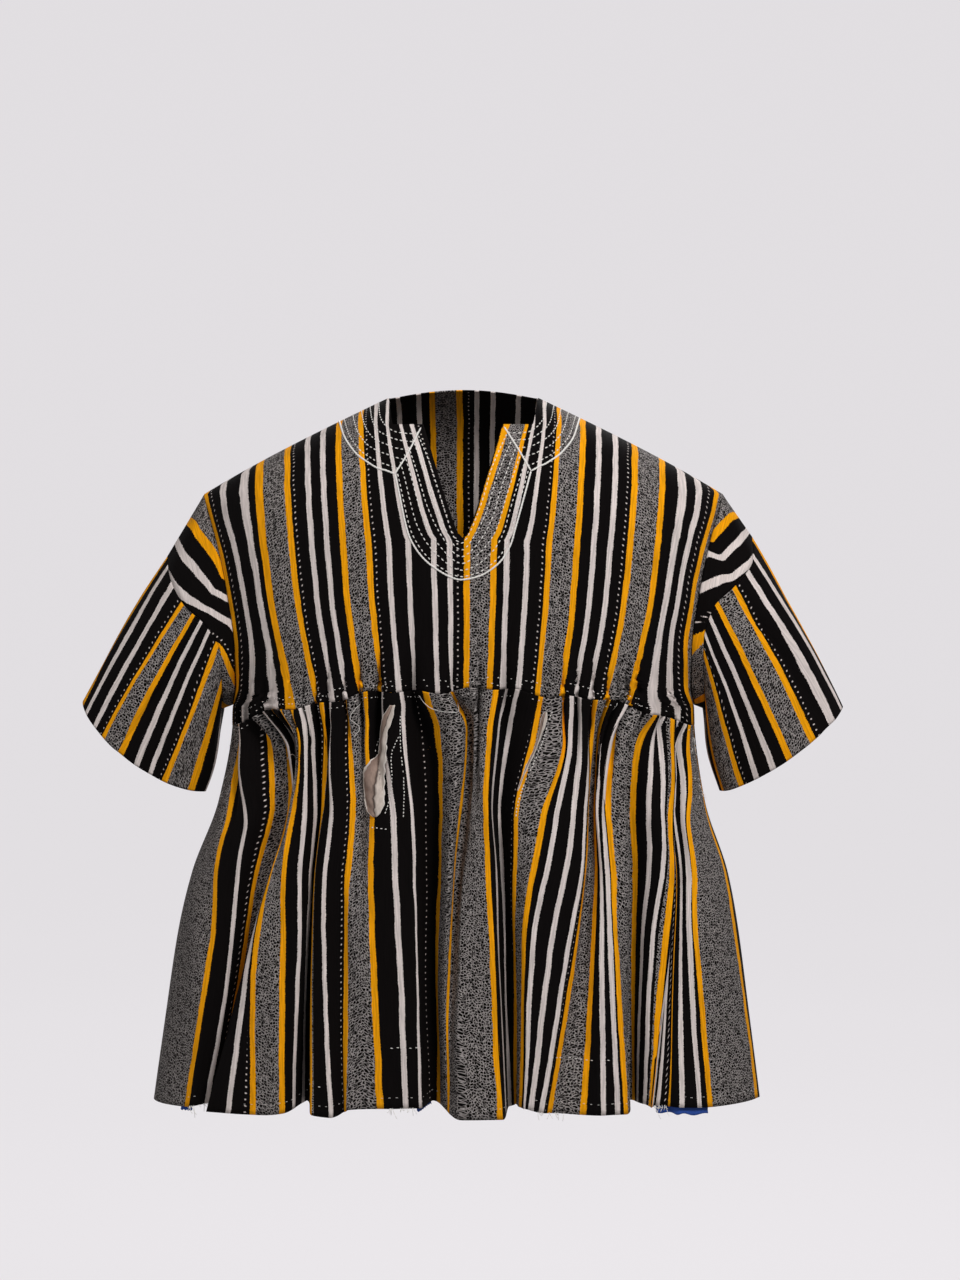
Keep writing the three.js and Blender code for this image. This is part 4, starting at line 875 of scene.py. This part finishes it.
def blank_material(name):
    """A material with an empty node tree."""
    material = bpy.data.materials.get(name) or bpy.data.materials.new(name)
    material.use_nodes = True
    material.node_tree.nodes.clear()
    return material


def fill_ramp(ramp, places, colours):
    """Gives a colour ramp a stop of each colour at each place."""
    while len(ramp.color_ramp.elements) < len(colours):
        ramp.color_ramp.elements.new(0.5)
    for element, place, colour in zip(ramp.color_ramp.elements, places, colours):
        element.position = place
        element.color = colour


def strip_cloth():
    """Hand-woven cotton strip: matte yarn-dyed stripes with slightly ragged edges, a fine warp and a band of
    small light squiggles on black. Matte cotton has a low specular level."""
    material = bpy.data.materials.get("strip_cotton")
    if material:
        return material
    colours = bpy.context.scene.smock_colours
    material = blank_material("strip_cotton")
    tree = material.node_tree
    cloth = add(tree, "ShaderNodeSeparateXYZ", {0: add(tree, "ShaderNodeUVMap", uv_map="cloth").outputs[0]})
    strip = add(tree, "ShaderNodeSeparateXYZ", {0: add(tree, "ShaderNodeUVMap", uv_map="strip").outputs[0]})

    def maths(operation, *values):
        """The output of one maths node."""
        return add(tree, "ShaderNodeMath", dict(enumerate(values)), operation=operation).outputs[0]

    def noise(across, along, detail):
        """Noise whose grains are across by along millimetres on the cloth."""
        place = add(tree, "ShaderNodeCombineXYZ", {
            0: maths("DIVIDE", cloth.outputs[0], across), 1: maths("DIVIDE", cloth.outputs[1], along)})
        return add(tree, "ShaderNodeTexNoise", {
            "Vector": place.outputs[0], "Scale": 1.0, "Detail": detail},
            noise_dimensions="2D").outputs["Fac"]

    # Stripes wander by up to a millimetre over 3 cm, and their edges are ragged by up to 0.6 mm
    wander = maths("MULTIPLY", maths("SUBTRACT", noise(34.0, 30.0, 2.0), 0.5), 2.0)
    ragged = maths("MULTIPLY", maths("SUBTRACT", noise(1.6, 1.3, 1.0), 0.5), 1.2)
    place = maths("ADD", strip.outputs[0], maths("ADD", wander, ragged))
    place = maths("WRAP", place, STRIP, 0.0)
    ramp = add(tree, "ShaderNodeValToRGB", {0: maths("DIVIDE", place, STRIP)})
    ramp.color_ramp.interpolation = "CONSTANT"
    kinds = [colours.orange, colours.ground, colours.orange, colours.ground, colours.white, colours.ground,
             colours.white, colours.ground]
    fill_ramp(ramp, [edge / STRIP for edge in STRIP_EDGES], kinds)

    # Squiggles: the walls between cells of 2.7 by 3 mm, bent by a noise and broken where another one is low
    bend = maths("MULTIPLY", noise(2.2, 2.2, 0.0), 0.9)
    cell = add(tree, "ShaderNodeCombineXYZ", {
        0: maths("ADD", maths("DIVIDE", cloth.outputs[0], 2.7), bend), 1: maths("DIVIDE", cloth.outputs[1], 3.0)})
    wall = add(tree, "ShaderNodeTexVoronoi", {"Vector": cell.outputs[0], "Scale": 1.0},
               voronoi_dimensions="2D", feature="DISTANCE_TO_EDGE").outputs["Distance"]
    wall = add(tree, "ShaderNodeMapRange", {0: wall, 1: 0.07, 2: 0.2, 3: 1.0, 4: 0.0}).outputs[0]
    whole = add(tree, "ShaderNodeMapRange", {0: noise(5.0, 5.0, 1.0), 1: 0.3, 2: 0.45, 3: 0.25, 4: 1.0}).outputs[0]
    line = maths("MULTIPLY", wall, whole)
    in_band = maths("COMPARE", place, (STRIP_EDGES[1] + STRIP_EDGES[2]) / 2, (STRIP_EDGES[2] - STRIP_EDGES[1]) / 2)
    flecked = add(tree, "ShaderNodeMix", {
        0: maths("MULTIPLY", line, in_band), 6: ramp.outputs[0], 7: tuple(colours.fleck)}, data_type="RGBA")

    # A row of white dots beside one of the oranges
    turn = maths("FRACT", maths("DIVIDE", strip.outputs[1], DOT_PITCH))
    step = maths("MULTIPLY", maths("SUBTRACT", turn, 0.5), DOT_PITCH)
    off = maths("SUBTRACT", place, DOT_LINE)
    far = maths("SQRT", maths("ADD", maths("MULTIPLY", step, step), maths("MULTIPLY", off, off)))
    dot = add(tree, "ShaderNodeMapRange", {
        0: far, 1: DOT_SIZE / 2 - 0.3, 2: DOT_SIZE / 2 + 0.3, 3: 1.0, 4: 0.0}).outputs[0]
    dotted = add(tree, "ShaderNodeMix", {0: dot, 6: flecked.outputs[2], 7: tuple(colours.white)}, data_type="RGBA")

    # Warp yarns: streaks 1.4 mm wide and 26 mm long, coarse so that they show
    streak = noise(1.4, 26.0, 2.0)
    shade = add(tree, "ShaderNodeMapRange", {0: streak, 1: 0.3, 2: 0.7, 3: 0.80, 4: 1.12}).outputs[0]
    yarn = add(tree, "ShaderNodeMix", {0: 1.0, 6: dotted.outputs[2], 7: shade}, data_type="RGBA", blend_type="MULTIPLY")
    fuzz = noise(0.9, 1.1, 2.0)
    weft = maths("SINE", maths("MULTIPLY", cloth.outputs[1], 2 * math.pi / 1.5))
    warp = maths("SINE", maths("MULTIPLY", cloth.outputs[0], 2 * math.pi / 1.4))
    weave = maths("MULTIPLY", maths("MULTIPLY", weft, warp), 0.25)
    height = maths("ADD", weave, maths("ADD", fuzz, maths("MULTIPLY", streak, 0.6)))
    bump = add(tree, "ShaderNodeBump", {"Strength": 0.35, "Distance": 0.0006, "Height": height})
    shader = add(tree, "ShaderNodeBsdfPrincipled", {
        "Base Color": yarn.outputs[2], "Normal": bump.outputs[0], "Roughness": 0.93, "IOR": 1.45,
        "Specular IOR Level": 0.06})
    add(tree, "ShaderNodeOutputMaterial", {0: shader.outputs[0]})
    return material


def plain_cotton(name, colour, across, along, roughness, sheen):
    """Plain cotton: an even colour that varies by up to a fifth in grains of the given size, and a fine weave."""
    material = bpy.data.materials.get(name)
    if material:
        return material
    material = blank_material(name)
    tree = material.node_tree
    place = add(tree, "ShaderNodeTexCoord").outputs["Object"]
    grain = add(tree, "ShaderNodeMapping", {"Vector": place, "Scale": (1000 / across, 1000 / across, 1000 / along)})
    noise = add(tree, "ShaderNodeTexNoise", {"Vector": grain.outputs[0], "Scale": 1.0, "Detail": 3.0})
    shade = add(tree, "ShaderNodeMapRange", {0: noise.outputs["Fac"], 1: 0.3, 2: 0.7, 3: 0.82, 4: 1.05})
    mixed = add(tree, "ShaderNodeMix", {0: 1.0, 6: tuple(colour), 7: shade.outputs[0]},
                data_type="RGBA", blend_type="MULTIPLY")
    bump = add(tree, "ShaderNodeBump", {"Strength": 0.4, "Distance": 0.0004, "Height": noise.outputs["Fac"]})
    shader = add(tree, "ShaderNodeBsdfPrincipled", {
        "Base Color": mixed.outputs[2], "Normal": bump.outputs[0], "Roughness": roughness, "IOR": 1.45,
        "Specular IOR Level": 0.2, "Sheen Weight": sheen, "Sheen Roughness": 0.5})
    add(tree, "ShaderNodeOutputMaterial", {0: shader.outputs[0]})
    return material


def lining_cotton():
    """Bleached cotton sheeting, folded at a pocket's mouth: an off-white rim, a hollow painted browner as painted
    shade, and a painted dark shadow along the fold between them. The map "leaf" runs across and down the leaf."""
    material = bpy.data.materials.get("cotton_sheeting")
    if material:
        return material
    material = plain_cotton("cotton_sheeting", bpy.context.scene.smock_colours.lining, 2.0, 5.0, 0.95, 0.1)
    tree = material.node_tree
    leaf = add(tree, "ShaderNodeSeparateXYZ", {0: add(tree, "ShaderNodeUVMap", uv_map="leaf").outputs[0]})
    ramp = add(tree, "ShaderNodeValToRGB", {0: leaf.outputs[0]})
    # Painted shade across the leaf: the brown stops from 0.1 to 0.48 stand for the shade in the pocket's hollow, and
    # the near-black stop at 0.55 is a painted shadow in the fold
    tones = ((0.0, "#E6DCD4"), (0.06, "#D8CCC2"), (0.1, "#8E766B"), (0.48, "#9E887C"), (0.55, "#3A2C27"),
             (0.62, "#C6B8AE"), (0.92, "#D2C6BC"), (1.0, "#E6DED6"))
    fill_ramp(ramp, [place for place, tone in tones], [linear(tone) for place, tone in tones])
    mixed = next(node for node in tree.nodes if node.bl_idname == "ShaderNodeMix")
    tree.links.new(ramp.outputs[0], mixed.inputs[6])
    return material


def facing_cotton():
    """Plain-woven cotton facing, piece-dyed blue: matte, a little uneven where the dye took."""
    return plain_cotton("dyed_cotton_facing", linear("#2C50A4"), 1.5, 3.0, 0.9, 0.0)


def thread_cotton():
    """Mercerised cotton thread: bright white with a soft shine, its twist too fine to draw."""
    return plain_cotton("cotton_thread", bpy.context.scene.smock_colours.thread, 1.0, 1.0, 0.7, 0.1)


# ---------------------------------------------------------------- pieces

# Rows down the skirt, how closely they stand at its top, columns across its back, its mean length in metres
SKIRT_ROWS, ROW_POWER, BACK_COLUMNS, SKIRT_LONG = 84, 1.25, 360, 0.41
# Columns and rows of a pocket leaf, and the thickness of linings and facings in metres
LEAF_COLUMNS, LEAF_ROWS, THIN_COTTON = 25, 61, 0.0006
# Shares of the way down the yoke: close together at the ridge, and again in the last tenth above the seam
YOKE_CALM = 225 / 247
YOKE_DOWN = np.concatenate([
    (1 - np.cos(np.linspace(0, np.pi, 81))) / 2 * 225 / 247, np.linspace(YOKE_CALM, 1, 9)[1:]])
# From this row down the two fronts are sewn together, and above it is the slit
SLIT_ROW = 40


def yoke_columns(fine):
    """Thread lines from the centre to the side, closer together round the neck's side."""
    parts = ((0, 42, fine), (42, 56, fine), (56, YOKE_EDGE, 5 * fine))
    return np.unique(np.concatenate([np.linspace(*part) for part in parts]))


def skirt_rows():
    """Heights from the seam to the hem, closer together at the gathers."""
    return np.linspace(0, 1, SKIRT_ROWS) ** ROW_POWER


def front_cloth():
    """Places on the cloth of the skirt's front, one for each column."""
    return np.linspace(0, SKIRT_WIDTH, bpy.context.scene.smock_sizes.columns + 1)


def front_skirt_grid():
    """The skirt's front with ripples of the cloth, in mm, without the seam's own edge moving."""
    cloth, height = front_cloth(), skirt_rows()
    grid = skirt_front(cloth, height)
    return soft_ripple(grid, cloth, height, 11)


def back_skirt_grid():
    """The skirt's back with ripples of the cloth, in mm."""
    cloth, height = np.linspace(0, SKIRT_WIDTH, BACK_COLUMNS + 1), skirt_rows()
    grid = skirt_back(cloth, height)
    return soft_ripple(grid, cloth, height, 23)


def soft_ripple(grid, cloth, height, seed):
    """Moves a skirt grid in along its own directions by a ripple that fades at the seam and the side seams."""
    size = bpy.context.scene.smock_sizes.ripple * 1000
    fade = np.clip(height / 0.06, 0, 1)[None, :] * np.clip(np.minimum(cloth, SKIRT_WIDTH - cloth) / 30, 0, 1)[:, None]
    along = length_down(grid)
    move = (0.6 + ripple(cloth[:, None], along, seed)) * size * fade
    return grid - normals(grid) * move[..., None]


class SMOCK_OT_yoke(bpy.types.Operator):
    """Builds the yoke's front with its open slit, and its back"""
    bl_idname = "smock.yoke"
    bl_label = "Yoke"

    def execute(self, context):
        m, material = yoke_columns(22), strip_cloth()
        thickness = context.scene.smock_sizes.cloth
        rows = len(YOKE_DOWN)
        grids, places = [], []
        for side in (-1, 1):
            x, z = yoke_half(m, side, "front", YOKE_DOWN)
            grid = yoke_surface(x, z, "front")
            grid[0, SLIT_ROW:, 0] = 0
            grids.append(grid[::-1] if side < 0 else grid)
            places.append(-m[::-1] if side < 0 else m)
        points = np.concatenate([grid.reshape(-1, 3) for grid in grids])
        faces = np.concatenate([grid_faces(len(m), rows), grid_faces(len(m), rows, len(m) * rows)])
        shared = np.arange(len(points))
        shared[len(m) * rows + SLIT_ROW:(len(m) + 1) * rows] = np.arange((len(m) - 1) * rows + SLIT_ROW, len(m) * rows)
        u, v, p = [], [], []
        for grid, place in zip(grids, places):
            along = length_down(grid)
            left, right = strip_places(YOKE_STRIPS, place)
            u.append(corners(place[:-1, None], place[1:, None], rows))
            v.append(corners(along[:-1], along[1:], rows))
            p.append(corners(left[:, None], right[:, None], rows))
        u, v, p = (np.concatenate(part) for part in (u, v, p))
        obj = new_piece("yoke_front_cloth", points, shared[faces], [("cloth", u, v), ("strip", p, v)], material)
        thicken(obj, thickness)
        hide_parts("yoke_front")

        m = yoke_columns(14)
        halves = []
        for side in (1, -1):
            x, z = yoke_half(m, side, "back", YOKE_DOWN)
            halves.append(yoke_surface(x, z, "back"))
        halves[0][0, :, 0] = halves[1][0, :, 0] = 0
        grid = np.concatenate([halves[0][::-1], halves[1][1:]])
        cloth = np.concatenate([-m[::-1], m[1:]])
        obj = panel_piece("yoke_back_cloth", grid, cloth, YOKE_STRIPS, "yoke_back", material, thickness)
        return {"FINISHED"}


class SMOCK_OT_skirt(bpy.types.Operator):
    """Builds the gathered skirt, front and back"""
    bl_idname = "smock.skirt"
    bl_label = "Skirt"

    def execute(self, context):
        thickness, material = context.scene.smock_sizes.cloth, strip_cloth()
        obj = panel_piece("skirt_front_cloth", front_skirt_grid(), front_cloth(), SKIRT_FRONT_STRIPS, "skirt_front",
                          material, thickness)
        cloth = np.linspace(0, BACK_CHART, BACK_COLUMNS + 1)
        grid = back_skirt_grid()
        obj = panel_piece("skirt_back_cloth", grid[::-1], cloth, SKIRT_BACK_STRIPS, "skirt_back", material, thickness)
        return {"FINISHED"}


class SMOCK_OT_sleeves(bpy.types.Operator):
    """Builds both sleeves: a band at the armhole and a pleated flare"""
    bl_idname = "smock.sleeves"
    bl_label = "Sleeves"

    def execute(self, context):
        thickness, material = context.scene.smock_sizes.cloth, strip_cloth()
        for side, sign in (("right", -1), ("left", 1)):
            turn, down = np.linspace(0, 360, 145), np.linspace(0, 1, 13)
            grid = band(sign, turn[:-1], down)
            folded = np.where(turn <= 180, turn, 360 - turn)
            start, end = np.array(BAND_ARM_RUN[sign]), np.array(BAND_SEAM_RUN[sign])
            first = np.interp(folded, start[:, 0], start[:, 1])[:, None]
            last = np.interp(folded, end[:, 0], end[:, 1])[:, None]
            round_cloth = round_length(grid[:, 6])
            obj = tube_piece(f"sleeve_band_{side}_cloth", grid, round_cloth, first + (last - first) * down,
                             f"sleeve_band_{side}", material, thickness, sign, crossways=True)

            cloth, down = np.linspace(0, 1, 201), np.linspace(0, 1, 61)
            grid, around = flare(sign, cloth[:-1], down)
            around = np.concatenate([around, np.full((1, 61), 360.0)])
            start, end = np.array(FLARE_SEAM_RUN[sign]), np.array(FLARE_CUFF_RUN[sign])
            first = np.interp(around, start[:, 0], start[:, 1])
            last = np.interp(around, end[:, 0], end[:, 1])
            round_cloth = round_length(grid[:, 45])
            obj = tube_piece(f"sleeve_flare_{side}_cloth", grid, round_cloth, first + (last - first) * down,
                             f"sleeve_flare_{side}", material, thickness, sign)
        return {"FINISHED"}


def on_skirt(grid, cloth, height):
    """Points of a skirt's face with the directions out of it, side by side, at places on the cloth and heights."""
    cloth, height = np.broadcast_arrays(np.asarray(cloth, float), np.asarray(height, float))
    column = cloth / SKIRT_WIDTH * (len(grid) - 1)
    row = height ** (1 / ROW_POWER) * (SKIRT_ROWS - 1)
    point, out = sample(grid, column.ravel(), row.ravel())
    return np.concatenate([point, out], -1).reshape(*cloth.shape, 6)


class SMOCK_OT_pockets(bpy.types.Operator):
    """Builds the pocket linings that show at the slits, and the topstitching beside them"""
    bl_idname = "smock.pockets"
    bl_label = "Pocket linings"

    def execute(self, context):
        grid = front_skirt_grid()
        for side, table in POCKET_LEAVES.items():
            height = np.linspace(table[0, 0], table[-1, 0], LEAF_ROWS)
            edges = smooth_curve(table[:, 0], table[:, 1:], height)
            across = np.linspace(0, 1, LEAF_COLUMNS)[:, None]
            wide = np.clip((edges[:, 1] - edges[:, 0]) / 22, 0, 1)
            edges[:, 0] += wide * (0.9 * np.sin(height * 190) + 0.6 * np.sin(height * 410 + 1))
            edges[:, 1] += wide * 0.7 * np.sin(height * 230 + 2)
            cloth = edges[:, 0] + (edges[:, 1] - edges[:, 0]) * across
            spot = on_skirt(grid, cloth, height[None, :] + 0 * across)
            rim = np.maximum(np.exp(-((across / 0.09) ** 2)), np.exp(-(((across - 1) / 0.09) ** 2)))
            fold = np.exp(-(((across - 0.72) / 0.16) ** 2))
            wrinkle = (np.sin(5 * across + 90 * height) + np.sin(9 * across - 150 * height)) * 0.5 * (1 - rim)
            lift = 0.8 + wide * (1.1 + 1.3 * rim + 1.6 * fold + wrinkle)
            leaf = spot[..., :3] + spot[..., 3:] * lift[..., None]
            down = np.broadcast_to(height * 400, cloth.shape)
            u = np.broadcast_to(across, cloth.shape)
            uvs = [("leaf", corners(u[:-1], u[1:], LEAF_ROWS), corners(down[:-1], down[1:], LEAF_ROWS))]
            faces = grid_faces(LEAF_COLUMNS, LEAF_ROWS)
            obj = new_piece(f"pocket_lining_{side}_cloth", leaf, faces, uvs, lining_cotton())
            thicken(obj, THIN_COTTON)
            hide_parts(f"pocket_lining_{side}")
        lines = []
        for seam in POCKET_SEAMS:
            place = spline(seam, 60)
            lines.append(on_skirt(grid, place[:, 0], place[:, 1]))
        running_stitches("pocket_stitches", lines, 3.3, 2.0, 1.2, keep=0.92, stray=0.3)
        return {"FINISHED"}


def neck_ring(share):
    """A line round the neck, as x and the way over the shoulder: a share of the way from outline to edge."""
    halves = []
    for side, table in NECK_RINGS.items():
        place = table[:, :2] * (1 - share) + table[:, 2:] * share
        halves.append(place * (side, 1))
    x, turn = spline(np.concatenate([halves[0], halves[1][-2::-1]]), 700).T
    return on_yoke(x, shoulder_round(x) * np.radians(turn))


def placket_line(share):
    """A line round the slit: a share of the way from the outline to the slit's edge."""
    outline, edge = evenly(spline(PLACKET, 400), count=260), evenly(spline(SLIT_EDGE, 400), count=260)
    x, z = (outline * (1 - share) + edge * share).T
    return on_yoke(x, way_down(x, z))


def outline_cord(name, line, radius):
    """A couched cord of chain stitches: a profile that swells at each stitch, carried along the line."""
    line = evenly(line, 0.9)
    swell = 1 + 0.16 * np.sin(np.arange(len(line)) * 0.9 / 3.2 * 2 * np.pi)
    ends = np.clip(np.minimum(np.arange(len(line)), np.arange(len(line))[::-1]) / 2, 0.3, 1)
    path = line[None, :, :3] + line[None, :, 3:] * radius * 0.3
    return strands(name, path, line[None, :, 3:], radius * swell * ends, thread_cotton(), 0.7)


class SMOCK_OT_embroidery(bpy.types.Operator):
    """Sews the outlines and rows of running stitches round the neck"""
    bl_idname = "smock.embroidery"
    bl_label = "Embroidery"

    def execute(self, context):
        sizes = context.scene.smock_sizes
        stitch, thread = sizes.stitch * 1000, sizes.thread * 1000
        outline_cord("neck_outline", neck_ring(0.0), 1.0)
        outline_cord("placket_outline", placket_line(0.0), 1.0)
        for side, cusp in zip(("right", "left"), CUSPS):
            x, z = spline(cusp, 60).T
            outline_cord(f"cusp_line_{side}", on_yoke(x, way_down(x, z)), 0.9)
        running_stitches("neck_rows", [neck_ring(share) for share in NECK_ROWS], stitch * 1.75, stitch, thread, seed=3)
        lines = [placket_line(share) for share in PLACKET_ROWS]
        running_stitches("placket_rows", lines, stitch * 1.75, stitch, thread, seed=4)
        return {"FINISHED"}


def frayed(spots, way, length, seed):
    """Short loose threads from places with outward directions: each runs off along a way and bends aside."""
    rng = np.random.default_rng(seed)
    place = np.linspace(0, 1, 9)[None, :, None]
    reach = rng.uniform(0.4, 1.0, (len(spots), 1, 1)) * length
    aside = rng.normal(0, 0.5, (len(spots), 1, 3))
    start, out = spots[:, None, :3], spots[:, None, 3:]
    return start + reach * place * (np.array(way) + 0.25 * out) + reach * place**2 * aside


# Blue facing that peeps out under the hem: start and end on the cloth, how far it hangs down
FACINGS = ((1022, 1100, 9.0), (44, 66, 5.5), (490, 518, 5.5))
# Rows of tacking stitches: start and end on the cloth, height. Loose thread ends: (cloth, height) along each
TACKS = ((455, 490, 0.855), (770, 850, 0.87), (340, 372, 0.93), (900, 925, 0.845))
THREAD_TAILS = (
    ((150, 0.13), (166, 0.118), (178, 0.145), (192, 0.138)), ((236, 0.03), (241, 0.07), (233, 0.1), (236, 0.13)),
    ((520, 0.01), (530, 0.04), (548, 0.052), (556, 0.03)), ((835, 0.005), (844, 0.04), (838, 0.07), (842, 0.1)),
    ((430, 0.02), (418, 0.05), (427, 0.08), (420, 0.1)))


class SMOCK_OT_seams(bpy.types.Operator):
    """Sews the gathering threads and the hems, and frays the seams' ends"""
    bl_idname = "smock.seams"
    bl_label = "Seams and frays"

    def execute(self, context):
        front, back = front_skirt_grid(), back_skirt_grid()
        rows = []
        x = np.linspace(-236, 236, 500)
        for face in ("front", "back"):
            for above in (5.5, 11.5):
                rows.append(on_yoke(x, way_down(x, seam_z(x) + above, face)))
        running_stitches("gathering_stitches", rows, 5.6, 1.9, 0.95, keep=0.5, stray=1.2, seed=7)
        cloth = np.linspace(20, SKIRT_WIDTH - 20, 1500)
        tops = [on_skirt(front, cloth, 0.014), on_skirt(back, cloth, 0.014)[::-1]]
        running_stitches("gathering_stitches_below", tops, 6.5, 1.9, 0.95, keep=0.45, stray=1.2, seed=8)
        cloth = np.linspace(6, SKIRT_WIDTH - 6, 2400)
        hems = [on_skirt(front, cloth, 0.974), on_skirt(back, cloth, 0.974)[::-1]]
        running_stitches("hem_stitches", hems, 7.5, 2.4, 0.5, keep=0.6, stray=0.4, seed=9)
        tacks = [on_skirt(front, np.linspace(start, end, 60), height) for start, end, height in TACKS]
        running_stitches("tack_stitches", tacks, 5.0, 2.6, 0.9, keep=0.85, stray=0.5, seed=10)
        tails = []
        for tail in THREAD_TAILS:
            cloth, height = spline(tail, 16).T
            spot = on_skirt(front, cloth, height)
            tails.append(spot[:, :3] + spot[:, 3:] * 1.2)
        tails = np.stack(tails)
        strands("thread_tails", tails, np.broadcast_to((0.0, -1.0, 0.1), tails.shape), 0.3, thread_cotton())

        rng = np.random.default_rng(12)
        paths = []
        for cloth, way in ((22, (0.2, -0.4, -0.9)), (SKIRT_WIDTH - 22, (-0.2, -0.4, -0.9))):
            spots = on_skirt(front, cloth + rng.uniform(-9, 9, 22), rng.uniform(0.02, 0.2, 22))
            paths.append(frayed(spots, way, 5.0, int(cloth)))
        for start, end in ((452, 486), (60, 90), (760, 800), (1010, 1040)):
            spots = on_skirt(front, rng.uniform(start, end, 12), 0.998)
            paths.append(frayed(spots, (0.1, 0, -1), 8.0, start))
        paths = np.concatenate(paths)
        strands("frayed_threads", paths, np.broadcast_to((0.1, -1.0, 0.1), paths.shape), 0.28, thread_cotton())

        for number, (start, end, drop) in enumerate(FACINGS):
            cloth, down = np.linspace(start, end, 25), np.linspace(-1, 1, 9)
            spot = on_skirt(front, cloth, 0.995)[:, None]
            ragged = 1 + 0.12 * np.sin(cloth * 1.7)[:, None, None]
            point = spot[..., :3] - spot[..., 3:] * (2.6 + 0.8 * np.sin(3 * down))[None, :, None]
            point = point + np.array([0, 0, -1]) * (down[None, :, None] * drop * ragged)
            obj = new_piece(f"hem_facing_{number}_cloth", point, grid_faces(25, 9), (), facing_cotton())
            thicken(obj, THIN_COTTON)
        return {"FINISHED"}


# Stage in metres: radius and height along the sweep's profile; each light's place, aim, size and power in watts
SWEEP_PROFILE = np.array([(0.02, -1.35), (5.2, -1.35), (6.4, -1.22), (7.2, -0.7), (7.5, 0.2), (7.5, 6.5)])
LIGHTS = (
    ("key", (1.3, -2.4, 1.9), (0, 0, -0.3), 1.0, 84), ("fill", (-2.2, -2.4, 0.6), (0, 0, -0.4), 2.0, 18),
    ("back_light", (0.6, 2.6, 1.7), (0, 0, -0.3), 1.6, 60))
CAMERA_PLACE, LENS, SENSOR = (0.0177, -3.0, -0.251), 78.9, 36


class SMOCK_OT_stage(bpy.types.Operator):
    """Sets the pale sweep, the lights and the camera"""
    bl_idname = "smock.stage"
    bl_label = "Studio"

    def execute(self, context):
        scene = context.scene
        places = np.linspace(0, 1, len(SWEEP_PROFILE))
        radius, z = smooth_curve(places, SWEEP_PROFILE, np.linspace(0, 1, 60)).T
        turn = np.radians(np.arange(96) * 3.75)[:, None]
        points = np.stack([radius * np.cos(turn), radius * np.sin(turn), z + 0 * turn], -1)
        mesh = bpy.data.meshes.new("studio_sweep")
        mesh.from_pydata(points.reshape(-1, 3).tolist(), [], grid_faces(96, 60, closed=True)[:, ::-1].tolist())
        mesh.shade_smooth()
        sweep = blank_material("painted_sweep")
        shader = add(sweep.node_tree, "ShaderNodeBsdfPrincipled", {
            "Base Color": linear("#4C4A4C"), "Roughness": 0.95, "Emission Color": linear("#E2DFE2"),
            "Emission Strength": 0.95})
        add(sweep.node_tree, "ShaderNodeOutputMaterial", {0: shader.outputs[0]})
        mesh.materials.append(sweep)
        obj = bpy.data.objects.new("studio_sweep", mesh)
        obj.visible_diffuse = False
        scene.collection.objects.link(obj)

        world = bpy.data.worlds.new("studio")
        world.use_nodes = True
        world.node_tree.nodes["Background"].inputs[0].default_value = linear("#F0EEEC")
        world.node_tree.nodes["Background"].inputs[1].default_value = 0.24
        scene.world = world
        for name, place, aim, size, power in LIGHTS:
            light = bpy.data.lights.new(name, "AREA")
            light.size, light.energy = size, power
            lamp = bpy.data.objects.new(name, light)
            lamp.location = place
            direction = np.array(aim, float) - place
            lamp.rotation_euler = (math.atan2(math.hypot(direction[0], direction[1]), -direction[2]), 0,
                                   math.atan2(direction[1], direction[0]) - math.pi / 2)
            scene.collection.objects.link(lamp)
        lens = bpy.data.cameras.new("front")
        lens.lens, lens.sensor_width = LENS, SENSOR
        camera = bpy.data.objects.new("front", lens)
        camera.location = CAMERA_PLACE
        camera.rotation_euler = (math.radians(90), 0, 0)
        scene.collection.objects.link(camera)
        scene.camera = camera
        scene.view_settings.view_transform = "Standard"
        return {"FINISHED"}


class SMOCK_PT_panel(bpy.types.Panel):
    """Lists the smock's operators and settings"""
    bl_idname = "SMOCK_PT_panel"
    bl_label = "Smock"
    bl_space_type = "VIEW_3D"
    bl_region_type = "UI"
    bl_category = "Smock"

    def draw(self, context):
        for group in (context.scene.smock_sizes, context.scene.smock_colours):
            for key in group.bl_rna.properties.keys():
                if key not in ("rna_type", "name"):
                    self.layout.prop(group, key)
        for operator in OPERATORS:
            self.layout.operator(operator.bl_idname)


OPERATORS = (SMOCK_OT_yoke, SMOCK_OT_skirt, SMOCK_OT_sleeves, SMOCK_OT_pockets, SMOCK_OT_embroidery, SMOCK_OT_seams,
             SMOCK_OT_stage)
CLASSES = (SmockSizes, SmockColours, *OPERATORS, SMOCK_PT_panel)


def register():
    """Registers the classes and their settings."""
    for item in CLASSES:
        bpy.utils.register_class(item)
    bpy.types.Scene.smock_sizes = PointerProperty(type=SmockSizes)
    bpy.types.Scene.smock_colours = PointerProperty(type=SmockColours)


def unregister():
    """Takes the classes and their settings away again."""
    del bpy.types.Scene.smock_colours
    del bpy.types.Scene.smock_sizes
    for item in reversed(CLASSES):
        bpy.utils.unregister_class(item)


def main():
    """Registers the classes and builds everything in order."""
    register()
    for operator in OPERATORS:
        group, name = operator.bl_idname.split(".")
        getattr(getattr(bpy.ops, group), name)()


if __name__ == "__main__":
    main()
